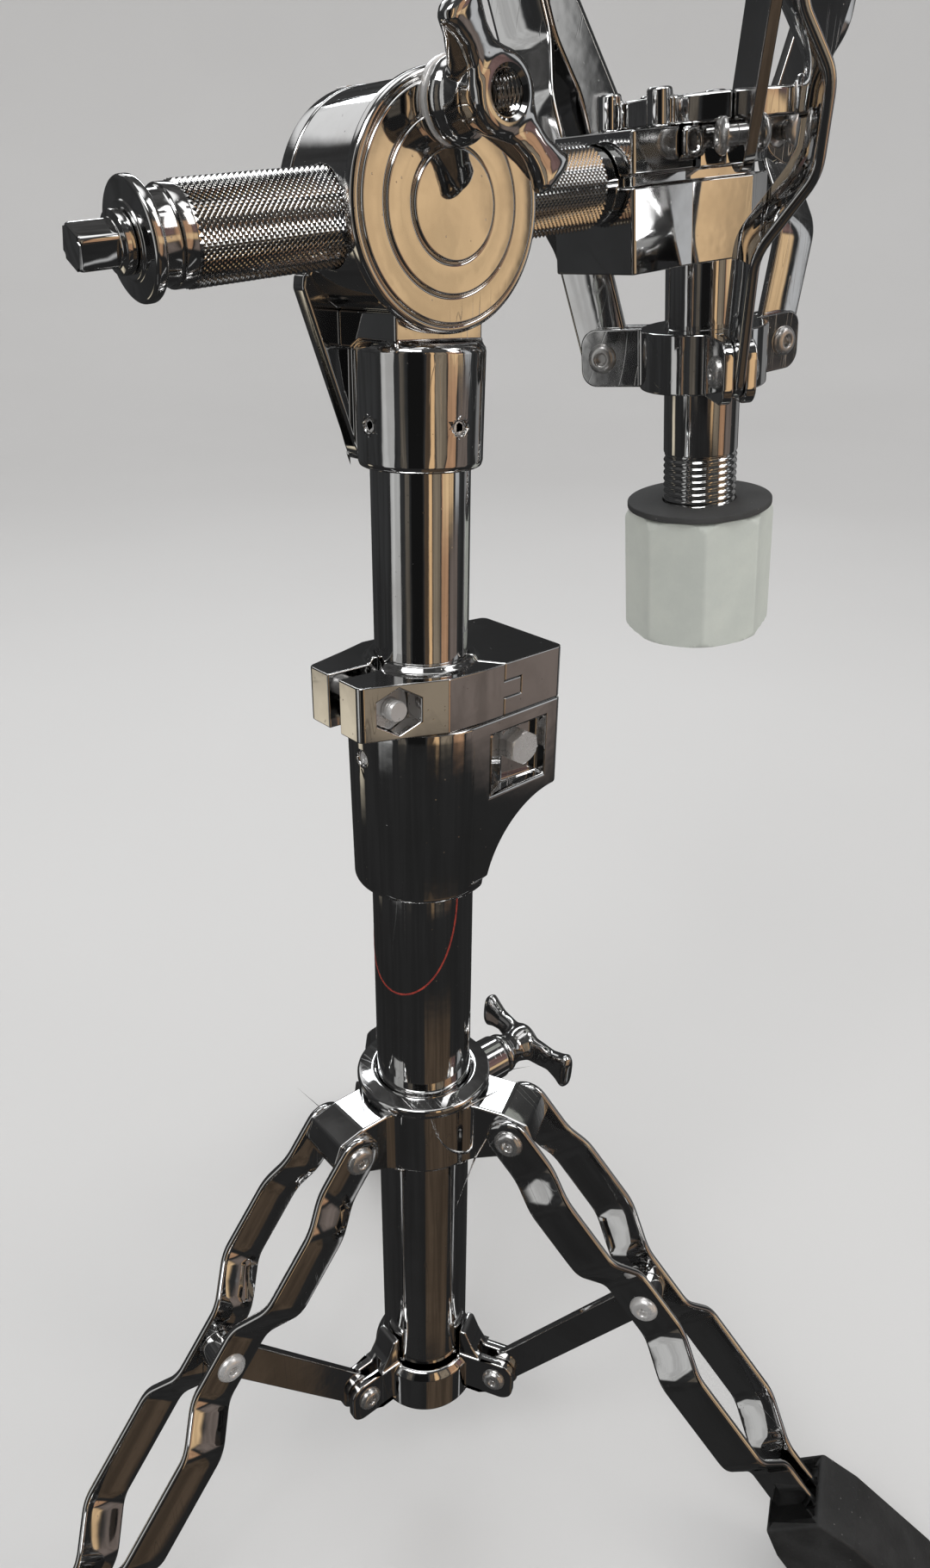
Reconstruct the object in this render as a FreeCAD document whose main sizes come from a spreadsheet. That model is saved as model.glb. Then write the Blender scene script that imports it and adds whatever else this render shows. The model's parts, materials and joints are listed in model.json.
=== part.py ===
"""Heavy-duty snare drum stand: folding tripod, height clamp, offset tilter and drum basket.

Origin: on the axis of the upright tube, at floor level.  +Z is up, +X is the way the
tilter arm carries the basket, and the tilter's front disc faces -Y.  Millimetres.
"""
import FreeCAD, Part
import math
import os
import Sketcher

os.makedirs("parts", exist_ok=True)
doc = FreeCAD.newDocument("SnareStand")
Vector = FreeCAD.Vector
Rotation = FreeCAD.Rotation
Placement = FreeCAD.Placement

# ---------------------------------------------------------------- driving dimensions
SIZES = {
    # upright tubes
    "running_gap": 0.05,
    "lower_tube_radius": 15.0,
    "lower_tube_wall": 1.2,
    "lower_tube_bottom": 40.0,
    "upper_tube_radius": 12.7,
    "upper_tube_wall": 1.5,
    "upper_tube_bottom": 130.0,
    # height clamp on top of the lower tube
    "clamp_bottom": 264.0,
    "clamp_top": 316.0,
    "clamp_radius": 20.6,
    "ear_reach": 37.0,
    "ear_half_width": 17.2,
    "ear_height": 27.0,
    "ear_sweep": 30.0,
    "ear_bolt_offset": 24.0,
    "ear_bolt_drop": 13.0,
    "ear_pocket_depth": 3.2,
    # memory lock that rests on the clamp
    "lock_height": 15.0,
    "lock_reach": 37.0,
    "lock_ear_reach": 28.5,
    "lock_bolt_offset": 18.5,
    "lock_seam": 13.0,
    # tripod collar and spider
    "collar_pivot_radius": 33.0,
    "collar_pivot_height": 178.0,
    "collar_radius": 20.2,
    "spider_pivot_radius": 29.0,
    "spider_pivot_height": 57.0,
    # legs
    "mid_pivot_radius": 80.0,
    "mid_pivot_height": 119.0,
    "strap_width": 15.0,
    "strap_thickness": 2.4,
    "strap_length": 190.0,
    "strap_gap_top": 9.5,
    "strap_gap_wide": 13.4,
    "strap_gap_pinch": 5.0,
    "strap_gap_end": 3.2,
    "rivet_radius": 3.0,
    "foot_start": 168.0,
    "foot_half_width": 13.0,
    "foot_toe": 24.83,
    # tilter
    "socket_radius": 16.0,
    "socket_bottom": 381.0,
    "socket_top": 410.0,
    "tilter_height": 438.0,
    "drum_radius": 25.0,
    "drum_front": -8.0,
    "drum_back": 15.0,
    "plate_thickness": 5.0,
    "disc_radius": 26.3,
    "back_plate_radius": 25.2,
    "trunnion_radius": 3.0,
    "tilt_bolt_radius": 3.5,
    "tilt_bolt_height": 19.5,
    # offset arm, in the tilted frame of the drum
    "arm_radius": 10.2,
    "arm_wall": 2.2,
    "arm_left": 62.0,
    "arm_right": 56.0,
    "arm_offset": 4.0,
    "arm_tilt": 7.0,
    # basket, in the tilted frame of the drum
    "basket_offset": 106.5,
    "block_left": 60.0,
    "block_right": 122.0,
    "block_bottom": -21.0,
    "block_top": -1.0,
    "cover_bottom": 1.7,
    "cover_top": 11.6,
    "neck_radius": 9.0,
    "basket_tube_radius": 11.5,
    "basket_tube_wall": 1.8,
    "hub_pivot_radius": 30.5,
    "upper_hub_height": 8.5,
    "lower_hub_height": -48.5,
    "hub_radius": 19.0,
    "crown_radius": 27.5,
    "crown_post_radius": 3.3,
    "crown_post_height": 12.1,
    "arm_strap_width": 18.0,
    "arm_strap_thickness": 3.0,
    "arm_strap_length": 150.0,
    "arm_joint_length": 75.0,
    "arm_lean": 25.0,
    "link_joggle": 13.0,
    "washer_height": -94.0,
    "washer_radius": 23.0,
    "washer_thickness": 2.0,
    "knob_radius": 24.0,
    "knob_height": 42.0,
}


class Size:
    """A number that remembers the spreadsheet expression it came from."""

    def __init__(self, value, text):
        self.value = float(value)
        self.text = text

    @staticmethod
    def of(amount):
        if isinstance(amount, Size):
            return amount
        return Size(amount, "(%.9g)" % amount)

    def join(self, other, sign, value):
        return Size(value, "(%s %s %s)" % (self.text, sign, Size.of(other).text))

    def __add__(self, other):
        return self.join(other, "+", self.value + Size.of(other).value)

    def __sub__(self, other):
        return self.join(other, "-", self.value - Size.of(other).value)

    def __mul__(self, other):
        return self.join(other, "*", self.value * Size.of(other).value)

    def __truediv__(self, other):
        return self.join(other, "/", self.value / Size.of(other).value)

    def __neg__(self):
        return self * -1.0

    def __radd__(self, other):
        return Size.of(other) + self

    def __rsub__(self, other):
        return Size.of(other) - self

    def __rmul__(self, other):
        return Size.of(other) * self


class Sizes:
    """The driving dimensions as attributes, each bound to its spreadsheet cell."""


sheet = doc.addObject("Spreadsheet::Sheet", "Sizes")
D = Sizes()
for row, (alias, amount) in enumerate(SIZES.items(), start=1):
    sheet.set("A%d" % row, alias)
    sheet.set("B%d" % row, "%g" % amount)
    sheet.setAlias("B%d" % row, alias)
    setattr(D, alias, Size(amount, "Sizes." + alias))
doc.recompute()

NODES = []
UPRIGHT = Rotation()
ALONG = {
    "X": Rotation(Vector(0, 1, 0), 90),
    "Y": Rotation(Vector(1, 0, 0), -90),
    "Z": UPRIGHT,
}
LEG_TURNS = (180.0, -60.0, 60.0)
BASKET_TURNS = (-125.0, -5.0, 115.0)
SET_SCREW_TURNS = (-90.0, 180.0)
CLEVIS_HALF_GAP = 1.6
LOCK_HINGE = (16.5, -12.5)
LOCK_NUT_SEAT = -7.0
CROWN_POST_TURNS = (-41.0, 41.0)


# ---------------------------------------------------------------- helpers
def unique(name):
    """A free internal name for a document object."""
    number = 1
    while doc.getObject("%s_%d" % (name, number)):
        number += 1
    return "%s_%d" % (name, number)


def bind(thing, prop, amount):
    """Set a length property, through an expression where the amount is a Size."""
    setattr(thing, prop, Size.of(amount).value)
    if isinstance(amount, Size):
        thing.setExpression(prop, amount.text)


def place(thing, base=(0, 0, 0), rotation=UPRIGHT):
    """Place an object, with each coordinate bound where it is a Size."""
    values = [Size.of(part).value for part in base]
    thing.Placement = Placement(Vector(*values), rotation)
    for letter, part in zip("xyz", base):
        if isinstance(part, Size):
            thing.setExpression("Placement.Base." + letter, part.text)


def cylinder(radius, height, base=(0, 0, 0), axis="Z"):
    rod = doc.addObject("Part::Cylinder", unique("Rod"))
    bind(rod, "Radius", radius)
    bind(rod, "Height", height)
    place(rod, base, ALONG[axis])
    return rod


def cone(lower, upper, height, base=(0, 0, 0), axis="Z"):
    solid = doc.addObject("Part::Cone", unique("Cone"))
    bind(solid, "Radius1", lower)
    bind(solid, "Radius2", upper)
    bind(solid, "Height", height)
    place(solid, base, ALONG[axis])
    return solid


def hexagon(across_flats, height, base=(0, 0, 0), axis="Z"):
    """A hexagonal prism; along Y it stands with one corner up."""
    prism = doc.addObject("Part::Prism", unique("Hexagon"))
    prism.Polygon = 6
    prism.Circumradius = across_flats / math.sqrt(3.0)
    bind(prism, "Height", height)
    place(prism, base, ALONG[axis] * turn((0, 0, 1), 30.0 if axis == "Y" else 0.0))
    return prism


def box(length, width, height, base=(0, 0, 0)):
    """A box from its low corner."""
    block = doc.addObject("Part::Box", unique("Block"))
    bind(block, "Length", length)
    bind(block, "Width", width)
    bind(block, "Height", height)
    place(block, base)
    return block


def join(*solids):
    fused = doc.addObject("Part::MultiFuse", unique("Joined"))
    fused.Shapes = list(solids)
    fused.Refine = True
    return fused


def cut(base, *tools):
    """The base with every tool taken away, in one boolean."""
    tool = tools[0] if len(tools) == 1 else join(*tools)
    result = doc.addObject("Part::Cut", unique("Cut"))
    result.Base = base
    result.Tool = tool
    result.Refine = True
    return result


def common(first, second):
    result = doc.addObject("Part::Common", unique("Common"))
    result.Base = first
    result.Tool = second
    return result


def group(*solids):
    """Separate solids that share one node, such as a set of like fasteners."""
    holder = doc.addObject("Part::Compound", unique("Set"))
    holder.Links = list(solids)
    return holder


def body(name):
    return doc.addObject("PartDesign::Body", unique(name))


def sketch(owner, role):
    """An empty sketch on one of the body's origin planes."""
    plane = [item for item in owner.Origin.OriginFeatures if item.Role == role][0]
    drawing = owner.newObject("Sketcher::SketchObject", unique("Sketch"))
    drawing.AttachmentSupport = [(plane, "")]
    drawing.MapMode = "FlatFace"
    return drawing


def fix(drawing, kind, first, second, amount):
    """A dimension constraint, bound to the sheet where the amount is a Size."""
    value = Size.of(amount).value
    number = drawing.addConstraint(Sketcher.Constraint(kind, *first, *second, value))
    label = "size_%d" % number
    drawing.renameConstraint(number, label)
    if isinstance(amount, Size):
        drawing.setExpression("Constraints." + label, amount.text)


def outline(drawing, points):
    """A closed outline of straight lines through the points."""
    values = [(Size.of(x).value, Size.of(y).value) for x, y in points]
    count = len(points)
    start = drawing.GeometryCount
    for index in range(count):
        here = Vector(*values[index], 0)
        there = Vector(*values[(index + 1) % count], 0)
        drawing.addGeometry(Part.LineSegment(here, there))
    for index in range(count):
        following = start + (index + 1) % count
        drawing.addConstraint(Sketcher.Constraint("Coincident", start + index, 2, following, 1))
    for index, (x, y) in enumerate(points):
        fix(drawing, "DistanceX", (-1, 1), (start + index, 1), x)
        fix(drawing, "DistanceY", (-1, 1), (start + index, 1), y)


def circle(drawing, x, y, radius):
    centre = Vector(Size.of(x).value, Size.of(y).value, 0)
    number = drawing.GeometryCount
    drawing.addGeometry(Part.Circle(centre, Vector(0, 0, 1), Size.of(radius).value))
    fix(drawing, "Radius", (number,), (), radius)
    fix(drawing, "DistanceX", (-1, 1), (number, 3), x)
    fix(drawing, "DistanceY", (-1, 1), (number, 3), y)


def revolve(name, points):
    """A body turned about Z from its half section, given as (radius, height) points."""
    owner = body(name)
    drawing = sketch(owner, "XZ_Plane")
    outline(drawing, points)
    turned = owner.newObject("PartDesign::Revolution", unique("Turned"))
    turned.Profile = drawing
    turned.ReferenceAxis = (drawing, ["V_Axis"])
    turned.Angle = 360
    return owner


def pad(name, role, points, length, holes=()):
    """A body padded both ways from an origin plane, with round holes (x, y, radius)."""
    owner = body(name)
    drawing = sketch(owner, role)
    outline(drawing, points)
    for x, y, radius in holes:
        circle(drawing, x, y, radius)
    padded = owner.newObject("PartDesign::Pad", unique("Pad"))
    padded.Profile = drawing
    padded.Midplane = True
    bind(padded, "Length", length)
    return owner


def edges_like(shape, test):
    """Names of the straight or round edges that pass the test."""
    return ["Edge%d" % (i + 1) for i, edge in enumerate(shape.Edges) if test(edge)]


def is_along(edge, direction, length=None):
    """True for a straight edge that runs along a direction."""
    if edge.Curve.TypeId != "Part::GeomLine":
        return False
    way = edge.Vertexes[1].Point - edge.Vertexes[0].Point
    if way.cross(direction).Length > 1e-4 * max(way.Length, 1.0):
        return False
    return length is None or abs(way.Length - length) < 1e-3


def round_edges(owner, test, radius):
    """A PartDesign fillet over every edge of the body's tip that passes the test."""
    doc.recompute()
    tip = owner.Tip
    names = edges_like(tip.Shape, test)
    if not names:
        raise RuntimeError("no edge to round on " + owner.Name)
    rounded = owner.newObject("PartDesign::Fillet", unique("Rounded"))
    rounded.Base = (tip, names)
    rounded.Radius = radius
    doc.recompute()
    return owner


def ring(name, inner, outer, low, high):
    return revolve(name, [(inner, low), (outer, low), (outer, high), (inner, high)])


def node(thing, label, base=(0, 0, 0), rotation=UPRIGHT):
    """Name a finished sub-part and put it in its place."""
    thing.Label = label
    place(thing, base, rotation)
    NODES.append(thing)
    return thing


def turn(axis, angle):
    return Rotation(Vector(*axis), angle)


# ---------------------------------------------------------------- upright tubes
def make_lower_tube():
    bore = D.lower_tube_radius - D.lower_tube_wall
    top = D.clamp_top - 4.0
    node(ring("LowerTube", bore, D.lower_tube_radius, D.lower_tube_bottom, top), "lower_tube")


def make_guide_bushing():
    """Nylon sleeve between the two tubes, with a flange on the lower tube's end."""
    inner = D.upper_tube_radius + D.running_gap
    outer = D.lower_tube_radius - D.lower_tube_wall - D.running_gap
    flange = D.lower_tube_radius - D.running_gap
    shoulder = D.clamp_top - 4.0 + D.running_gap
    top = D.clamp_top - D.running_gap
    foot = D.clamp_bottom + 4.0
    points = [
        (inner, foot),
        (outer, foot),
        (outer, shoulder),
        (flange, shoulder),
        (flange, top),
        (inner, top),
    ]
    node(revolve("Bushing", points), "guide_bushing")


def make_upper_tube():
    bore = D.upper_tube_radius - D.upper_tube_wall
    top = D.socket_top - 4.0
    node(ring("UpperTube", bore, D.upper_tube_radius, D.upper_tube_bottom, top), "upper_tube")


# ---------------------------------------------------------------- height clamp
def ear_outline():
    """Plan of the clamp's ear: flat sides that leave the shell at a tangent."""
    reach = D.ear_reach.value
    half = D.ear_half_width.value
    radius = D.clamp_radius.value
    distance = math.hypot(reach, half)
    angle = math.atan2(half, reach) + math.acos(radius / distance)
    start_x = radius * math.cos(angle)
    start_y = radius * math.sin(angle)
    return [
        (start_x, -start_y),
        (D.ear_reach, -D.ear_half_width),
        (D.ear_reach, D.ear_half_width),
        (start_x, start_y),
    ]


def make_tube_clamp():
    """Split shell round the lower tube, its two ears drawn together by a bolt."""
    radius = D.clamp_radius
    low = D.clamp_bottom
    top = D.clamp_top
    shell = revolve("ClampShell", [
        (0, low),
        (radius - 1.6, low),
        (radius - 0.6, low + 1.2),
        (radius, top - 3.0),
        (radius, top),
        (0, top),
    ])
    foot = low + 4.0
    ear = pad("ClampEar", "XY_Plane", ear_outline(), top - foot)
    round_edges(ear, lambda edge: is_along(edge, Vector(0, 0, 1)) and edge.BoundBox.XMin > 30.0, 2.0)
    place(ear, (0, 0, (top + foot) / 2.0))
    room = D.ear_half_width * 2.0 + 8.0
    side = D.ear_half_width + 4.0
    under = cylinder(D.ear_sweep, room, (D.ear_reach, -side, top - D.ear_height - D.ear_sweep), "Y")
    bore = cylinder(D.lower_tube_radius, 80.0, (0, 0, low - 5.0))
    split = box(D.ear_reach, 2.4, 80.0, (D.lower_tube_radius - 1.0, -1.2, low - 5.0))
    floor = D.ear_pocket_depth - D.ear_half_width
    pocket_right = D.ear_reach - 6.0
    pocket = pad("BoltPocket", "XY_Plane", [
        (8.6, -19.2),
        (17.0, floor),
        (pocket_right, floor),
        (pocket_right, -30.0),
        (8.6, -30.0),
    ], 18.0)
    place(pocket, (0, 0, top - D.ear_bolt_drop - 0.5))
    height = top - D.ear_bolt_drop
    seat = cylinder(9.0, 8.0, (D.ear_bolt_offset, D.ear_half_width - 0.3, height), "Y")
    bolt_hole = cylinder(3.05, 60.0, (D.ear_bolt_offset, -30.0, height), "Y")
    screw_hole = cylinder(2.0, 30.0, (-30.0, 0, top - 10.0), "X")
    solid = cut(join(shell, ear), under, bore, split, pocket, seat, bolt_hole, screw_hole)
    node(solid, "tube_clamp")


def make_clamp_bolt():
    """Hex bolt through the clamp's ears, its head in the front pocket."""
    middle = D.clamp_top - D.ear_bolt_drop
    seat = D.ear_pocket_depth - D.ear_half_width
    head_height = 2.8
    head = hexagon(9.2, head_height, (D.ear_bolt_offset, seat - head_height, middle), "Y")
    reach = D.ear_half_width * 2.0 + 9.0
    shank = cylinder(3.0, reach, (D.ear_bolt_offset, seat - 0.5, middle), "Y")
    node(join(head, shank), "tube_clamp_bolt")


def wing_nut(name, span, depth, thickness, collar, end):
    """A T-shaped wing nut: round boss along -Y from the origin, two wings near its end."""
    half = span / 2.0
    across = 7.0
    wings = pad(name, "XZ_Plane", [
        (-half, -thickness * 0.42),
        (-6.0, -thickness * 0.8),
        (6.0, -thickness * 0.8),
        (half, -thickness * 0.42),
        (half, thickness * 0.42),
        (6.0, thickness * 0.8),
        (-6.0, thickness * 0.8),
        (-half, thickness * 0.42),
    ], across)
    place(wings, (0, -depth + across / 2.0 + 1.0, 0))
    boss = cone(collar, end, depth, (0, 0, 0), "Y")
    boss.Placement = Placement(Vector(), turn((1, 0, 0), 90))
    return join(boss, wings)


def make_clamp_wing_nut():
    seat = D.ear_half_width - 0.3 + D.running_gap
    middle = D.clamp_top - D.ear_bolt_drop
    bore = cylinder(3.06, 60.0, (0, -50.0, 0), "Y")
    solid = cut(wing_nut("ClampWings", 46.0, 20.0, 9.0, 8.2, 7.0), bore)
    node(solid, "clamp_wing_nut", (D.ear_bolt_offset, seat, middle), turn((0, 0, 1), 180))


def make_clamp_set_screw():
    height = D.clamp_top - 10.0
    length = D.clamp_radius - D.lower_tube_radius - 1.0
    screw = cylinder(2.0, length, (-D.clamp_radius + 1.0, 0, height), "X")
    socket = hexagon(2.0, 2.0, (-D.clamp_radius, 0, height), "X")
    node(cut(screw, socket), "tube_clamp_set_screw")


# ---------------------------------------------------------------- memory lock
def lock_blank():
    """Outer shape of the closed memory lock: faceted block with a low collar round the tube."""
    high = D.lock_height - D.running_gap
    blank = pad("LockBlank", "XY_Plane", [
        (-D.lock_ear_reach, -11.5),
        (-14.0, -16.5),
        (-6.0, -19.6),
        (6.0, -19.6),
        (D.lock_reach, -17.0),
        (D.lock_reach, 17.0),
        (6.0, 19.6),
        (-6.0, 19.6),
        (-14.0, 16.5),
        (-D.lock_ear_reach, 11.5),
    ], high)
    round_edges(blank, lambda edge: is_along(edge, Vector(0, 0, 1)), 2.2)
    collar = cone(15.6, 14.4, 1.6, (0, 0, high * 0.5))
    return join(blank, collar)


def lock_front_room(gap):
    """Space of the front jaw: before the split plane, up to the seam beside the hinge block."""
    drop = 18.2
    room = pad("JawRoom", "XY_Plane", [
        (-60.0, gap),
        (gap, gap),
        (D.lock_seam * 2.0 + gap, drop * -2.0 + gap),
        (-60.0, drop * -2.0 + gap),
    ], 40.0)
    third = D.lock_height / 3.0
    tongue_height = third - 0.2 + gap
    tongue = box(D.lock_seam + 7.0 + gap, 32.0, tongue_height, (0, -40.0, tongue_height * -0.5))
    return join(room, tongue)


def lock_half(front):
    """One half of the lock.  The front jaw's tongue enters the hinge block of the back half."""
    ear_gap = box(30.0, 5.0, 40.0, (-42.0, -2.5, -20.0))
    bore = cylinder(D.upper_tube_radius + D.running_gap, 40.0, (0, 0, -20.0))
    bolt = cylinder(2.95, 60.0, (-D.lock_bolt_offset, -30.0, 0), "Y")
    if front:
        seat = hexagon(11.2, 14.0, (-D.lock_bolt_offset, LOCK_NUT_SEAT - 14.0, 0), "Y")
    else:
        seat = cylinder(6.2, 12.0, (-D.lock_bolt_offset, 12.0, 0), "Y")
    pin = cylinder(2.05, 25.0, (*LOCK_HINGE, -20.0))
    if front:
        half = common(lock_blank(), lock_front_room(0.0))
    else:
        half = cut(lock_blank(), lock_front_room(0.15))
    name = "memory_lock_front" if front else "memory_lock_back"
    solid = cut(half, ear_gap, bore, bolt, seat, pin)
    node(solid, name, (0, 0, D.clamp_top + D.lock_height / 2.0 + D.running_gap))


def make_lock_hardware():
    middle = D.clamp_top + D.lock_height / 2.0 + D.running_gap
    where = (-D.lock_bolt_offset, 0, middle)
    shank = cylinder(2.9, 28.6, (0, -14.6, 0), "Y")
    head = cylinder(4.8, 3.4, (0, 12.0, 0), "Y")
    node(join(shank, head), "memory_lock_bolt", where)
    nut_height = 3.6
    blank = hexagon(10.8, nut_height, (0, LOCK_NUT_SEAT - nut_height, 0), "Y")
    nut = cut(blank, cylinder(2.9, 10.0, (0, LOCK_NUT_SEAT - 8.0, 0), "Y"))
    node(nut, "memory_lock_nut", where)
    pin = cylinder(2.0, 11.8, (0, 0, -7.0))
    node(group(pin), "memory_lock_pin", (*LOCK_HINGE, middle))


# ---------------------------------------------------------------- tripod
def leg_frame(turns, radius, height, lean):
    """Frame of a bar that hangs from a pivot: -Z along the bar, Y along the pivot."""
    angle = math.radians(turns)
    base = (radius * math.cos(angle), radius * math.sin(angle), height)
    return base, turn((0, 0, 1), turns) * turn((0, 1, 0), -lean)


LEG_RUN = D.mid_pivot_radius.value - D.collar_pivot_radius.value
LEG_DROP = D.collar_pivot_height.value - D.mid_pivot_height.value
LEG_LEAN = math.degrees(math.atan2(LEG_RUN, LEG_DROP))
LEG_MID = math.hypot(LEG_RUN, LEG_DROP)
BRACE_RUN = D.mid_pivot_radius.value - D.spider_pivot_radius.value
BRACE_RISE = D.mid_pivot_height.value - D.spider_pivot_height.value
BRACE_LEAN = math.degrees(math.atan2(BRACE_RUN, BRACE_RISE))
BRACE_LENGTH = math.hypot(BRACE_RUN, BRACE_RISE)


def lug_root(side_view, half_width, barrel_radius, fillet):
    """Fillets between a lug's two sides and the barrel, with the lug's own side view."""
    side = half_width + fillet
    centre = barrel_radius + fillet
    across = math.sqrt(centre * centre - side * side)
    touching = side * barrel_radius / centre
    root = pad("LugRoot", "XZ_Plane", side_view, touching * 2.0)
    tools = [box(60.0, 80.0, 80.0, (across, -40.0, -40.0))]
    for way in (1.0, -1.0):
        tools.append(cylinder(fillet, 80.0, (across, side * way, -40.0)))
    return cut(root, *tools)


def make_leg_collar():
    """Sliding collar with three leg lugs, a flange ring and the wing screw's boss."""
    bore = D.lower_tube_radius + 0.08
    middle = D.collar_pivot_height
    low = middle - 15.0
    top = middle + 9.0
    outer = D.collar_radius
    barrel = revolve("CollarBarrel", [
        (bore, low),
        (outer - 1.5, low),
        (outer, low + 1.5),
        (outer, top),
        (outer + 1.4, top + 1.0),
        (outer + 1.4, top + 3.5),
        (bore + 1.2, top + 4.5),
        (bore, top + 3.5),
    ])
    lug_half = D.strap_gap_top - D.strap_thickness / 2.0 - 0.1
    side_view = [
        (14.0, -14.6),
        (19.0, -14.0),
        (30.0, -9.0),
        (38.0, -6.0),
        (40.5, 0.0),
        (38.0, 6.5),
        (30.0, 8.5),
        (14.0, 9.0),
    ]
    lugs = []
    for turns in LEG_TURNS:
        lug = pad("CollarLug", "XZ_Plane", side_view, lug_half * 2.0,
                  [(D.collar_pivot_radius, 0.0, D.rivet_radius)])
        root = lug_root(side_view, lug_half.value, outer.value, 5.0)
        for piece in (lug, root):
            place(piece, (0, 0, middle), turn((0, 0, 1), turns))
            lugs.append(piece)
    boss = cylinder(7.5, 14.0, (18.0, 0, middle), "X")
    thread = cylinder(3.06, 30.0, (5.0, 0, middle), "X")
    solid = cut(join(barrel, boss, *lugs), thread, cylinder(bore, 60.0, (0, 0, low - 10.0)))
    node(solid, "leg_collar")


def cross_rivet(half_length, head_radius, radius, where, turns):
    """A rivet across a pivot, centred on it, with a domed head at each end."""
    shank = cylinder(radius, half_length * 2.0, (0, half_length * -1.0, 0), "Y")
    left = cone(head_radius, head_radius * 0.6, 1.8, (0, half_length, 0), "Y")
    right = cone(head_radius * 0.6, head_radius, 1.8, (0, half_length * -1.0 - 1.8, 0), "Y")
    rivet = join(shank, left, right)
    place(rivet, where, turn((0, 0, 1), turns))
    return rivet


def pivot_rivets(half_length, head_radius, radius, pivot_radius, height, turns_list):
    rivets = []
    for turns in turns_list:
        angle = math.radians(turns)
        where = (pivot_radius * math.cos(angle), pivot_radius * math.sin(angle), height)
        rivets.append(cross_rivet(half_length, head_radius, radius, where, turns))
    return group(*rivets)


def make_collar_rivets():
    half = D.strap_gap_top + D.strap_thickness / 2.0 + 0.08
    rivets = pivot_rivets(half, 4.6, D.rivet_radius, D.collar_pivot_radius,
                          D.collar_pivot_height, LEG_TURNS)
    node(rivets, "collar_rivets")


def make_collar_wing_screw():
    """Wing screw that clamps the collar on the lower tube."""
    tip = D.lower_tube_radius + 0.15
    screw = cylinder(3.0, 26.0, (tip, 0, 0), "X")
    boss = cone(7.0, 6.0, 12.0, (tip + 17.5, 0, 0), "X")
    wings = pad("CollarWings", "YZ_Plane", [
        (-21.0, -3.2),
        (-5.0, -6.0),
        (5.0, -6.0),
        (21.0, -3.2),
        (21.0, 3.2),
        (5.0, 6.0),
        (-5.0, 6.0),
        (-21.0, 3.2),
    ], 6.5)
    place(wings, (tip + 25.0, 0, 0))
    node(join(screw, boss, wings), "collar_wing_screw", (0, 0, D.collar_pivot_height), turn((1, 0, 0), 4))


def strap_path():
    """Half spacing of a leg strap against the distance down the leg."""
    top = D.strap_gap_top
    wide = D.strap_gap_wide
    pinch = D.strap_gap_pinch
    end = D.strap_gap_end
    return [
        (-7.5, top),
        (14.0, top),
        (24.0, wide),
        (50.0, wide),
        (63.0, pinch),
        (LEG_MID + 12.0, pinch),
        (LEG_MID + 24.0, wide),
        (138.0, wide),
        (151.0, end),
        (D.strap_length, end),
    ]


def zigzag(path, thickness):
    """Closed outline of a bent strip: both faces of the path, (offset, -distance)."""
    half = thickness / 2.0
    inner = [(offset - half, down * -1.0) for down, offset in path]
    outer = [(offset + half, down * -1.0) for down, offset in path]
    return inner + outer[::-1]


def make_leg(number, turns):
    base, frame = leg_frame(turns, D.collar_pivot_radius, D.collar_pivot_height, LEG_LEAN)
    for letter, side in (("a", 1.0), ("b", -1.0)):
        points = [(x * side, y) for x, y in zigzag(strap_path(), D.strap_thickness)]
        strip = pad("LegStrap", "YZ_Plane", points, D.strap_width)
        round_edges(strip, lambda edge: is_along(edge, Vector(0, 1, 0), D.strap_thickness.value), 7.0)
        pivot = cylinder(D.rivet_radius + 0.06, 40.0, (0, -20.0, 0), "Y")
        stub = cylinder(D.rivet_radius, 40.0, (0, -20.0, -LEG_MID), "Y")
        node(cut(strip, pivot, stub), "leg_%d_strap_%s" % (number, letter), base, frame)
    heads = []
    inner = D.strap_gap_pinch - D.strap_thickness / 2.0
    outer = D.strap_gap_pinch + D.strap_thickness / 2.0
    for side in (1.0, -1.0):
        low = inner if side > 0 else 0 - outer
        stub = cylinder(D.rivet_radius, D.strap_thickness, (0, low, -LEG_MID), "Y")
        if side > 0:
            head = cone(4.6, 2.8, 2.0, (0, outer, -LEG_MID), "Y")
        else:
            head = cone(2.8, 4.6, 2.0, (0, 0 - outer - 2.0, -LEG_MID), "Y")
        heads.append(join(stub, head))
    node(group(*heads), "leg_%d_rivet" % number, base, frame)
    make_foot(number, base, frame)


def make_foot(number, base, frame):
    """Rubber foot: a wedge with a flat sole, slotted for the two straps."""
    lean = math.radians(LEG_LEAN)
    sole = D.collar_pivot_height.value / math.cos(lean)
    start = D.foot_start.value
    heel = 13.0
    toe = D.foot_toe.value
    slope = math.tan(lean)
    wedge = pad("Foot", "XZ_Plane", [
        (3.0 - heel, -start),
        (10.0, -start),
        (16.0, -start - 12.0),
        (toe, -start - 44.0),
        (toe, -sole - toe * slope),
        (-heel, -sole + heel * slope),
        (-heel, -start - 12.0),
    ], D.foot_half_width * 2.0)
    round_edges(wedge, lambda edge: is_along(edge, Vector(0, 1, 0)), 1.6)
    slot_half = D.strap_gap_end + D.strap_thickness / 2.0
    deep = D.strap_length.value - start
    slot = box(D.strap_width, slot_half * 2.0, deep + 20.0,
               (D.strap_width / -2.0, 0 - slot_half, -D.strap_length.value))
    flare = box(D.strap_width + 1.0, 18.0, 6.0, (D.strap_width / -2.0 - 0.5, -9.0, -start - 1.6))
    node(cut(wedge, slot, flare), "leg_%d_foot" % number, base, frame)


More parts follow.
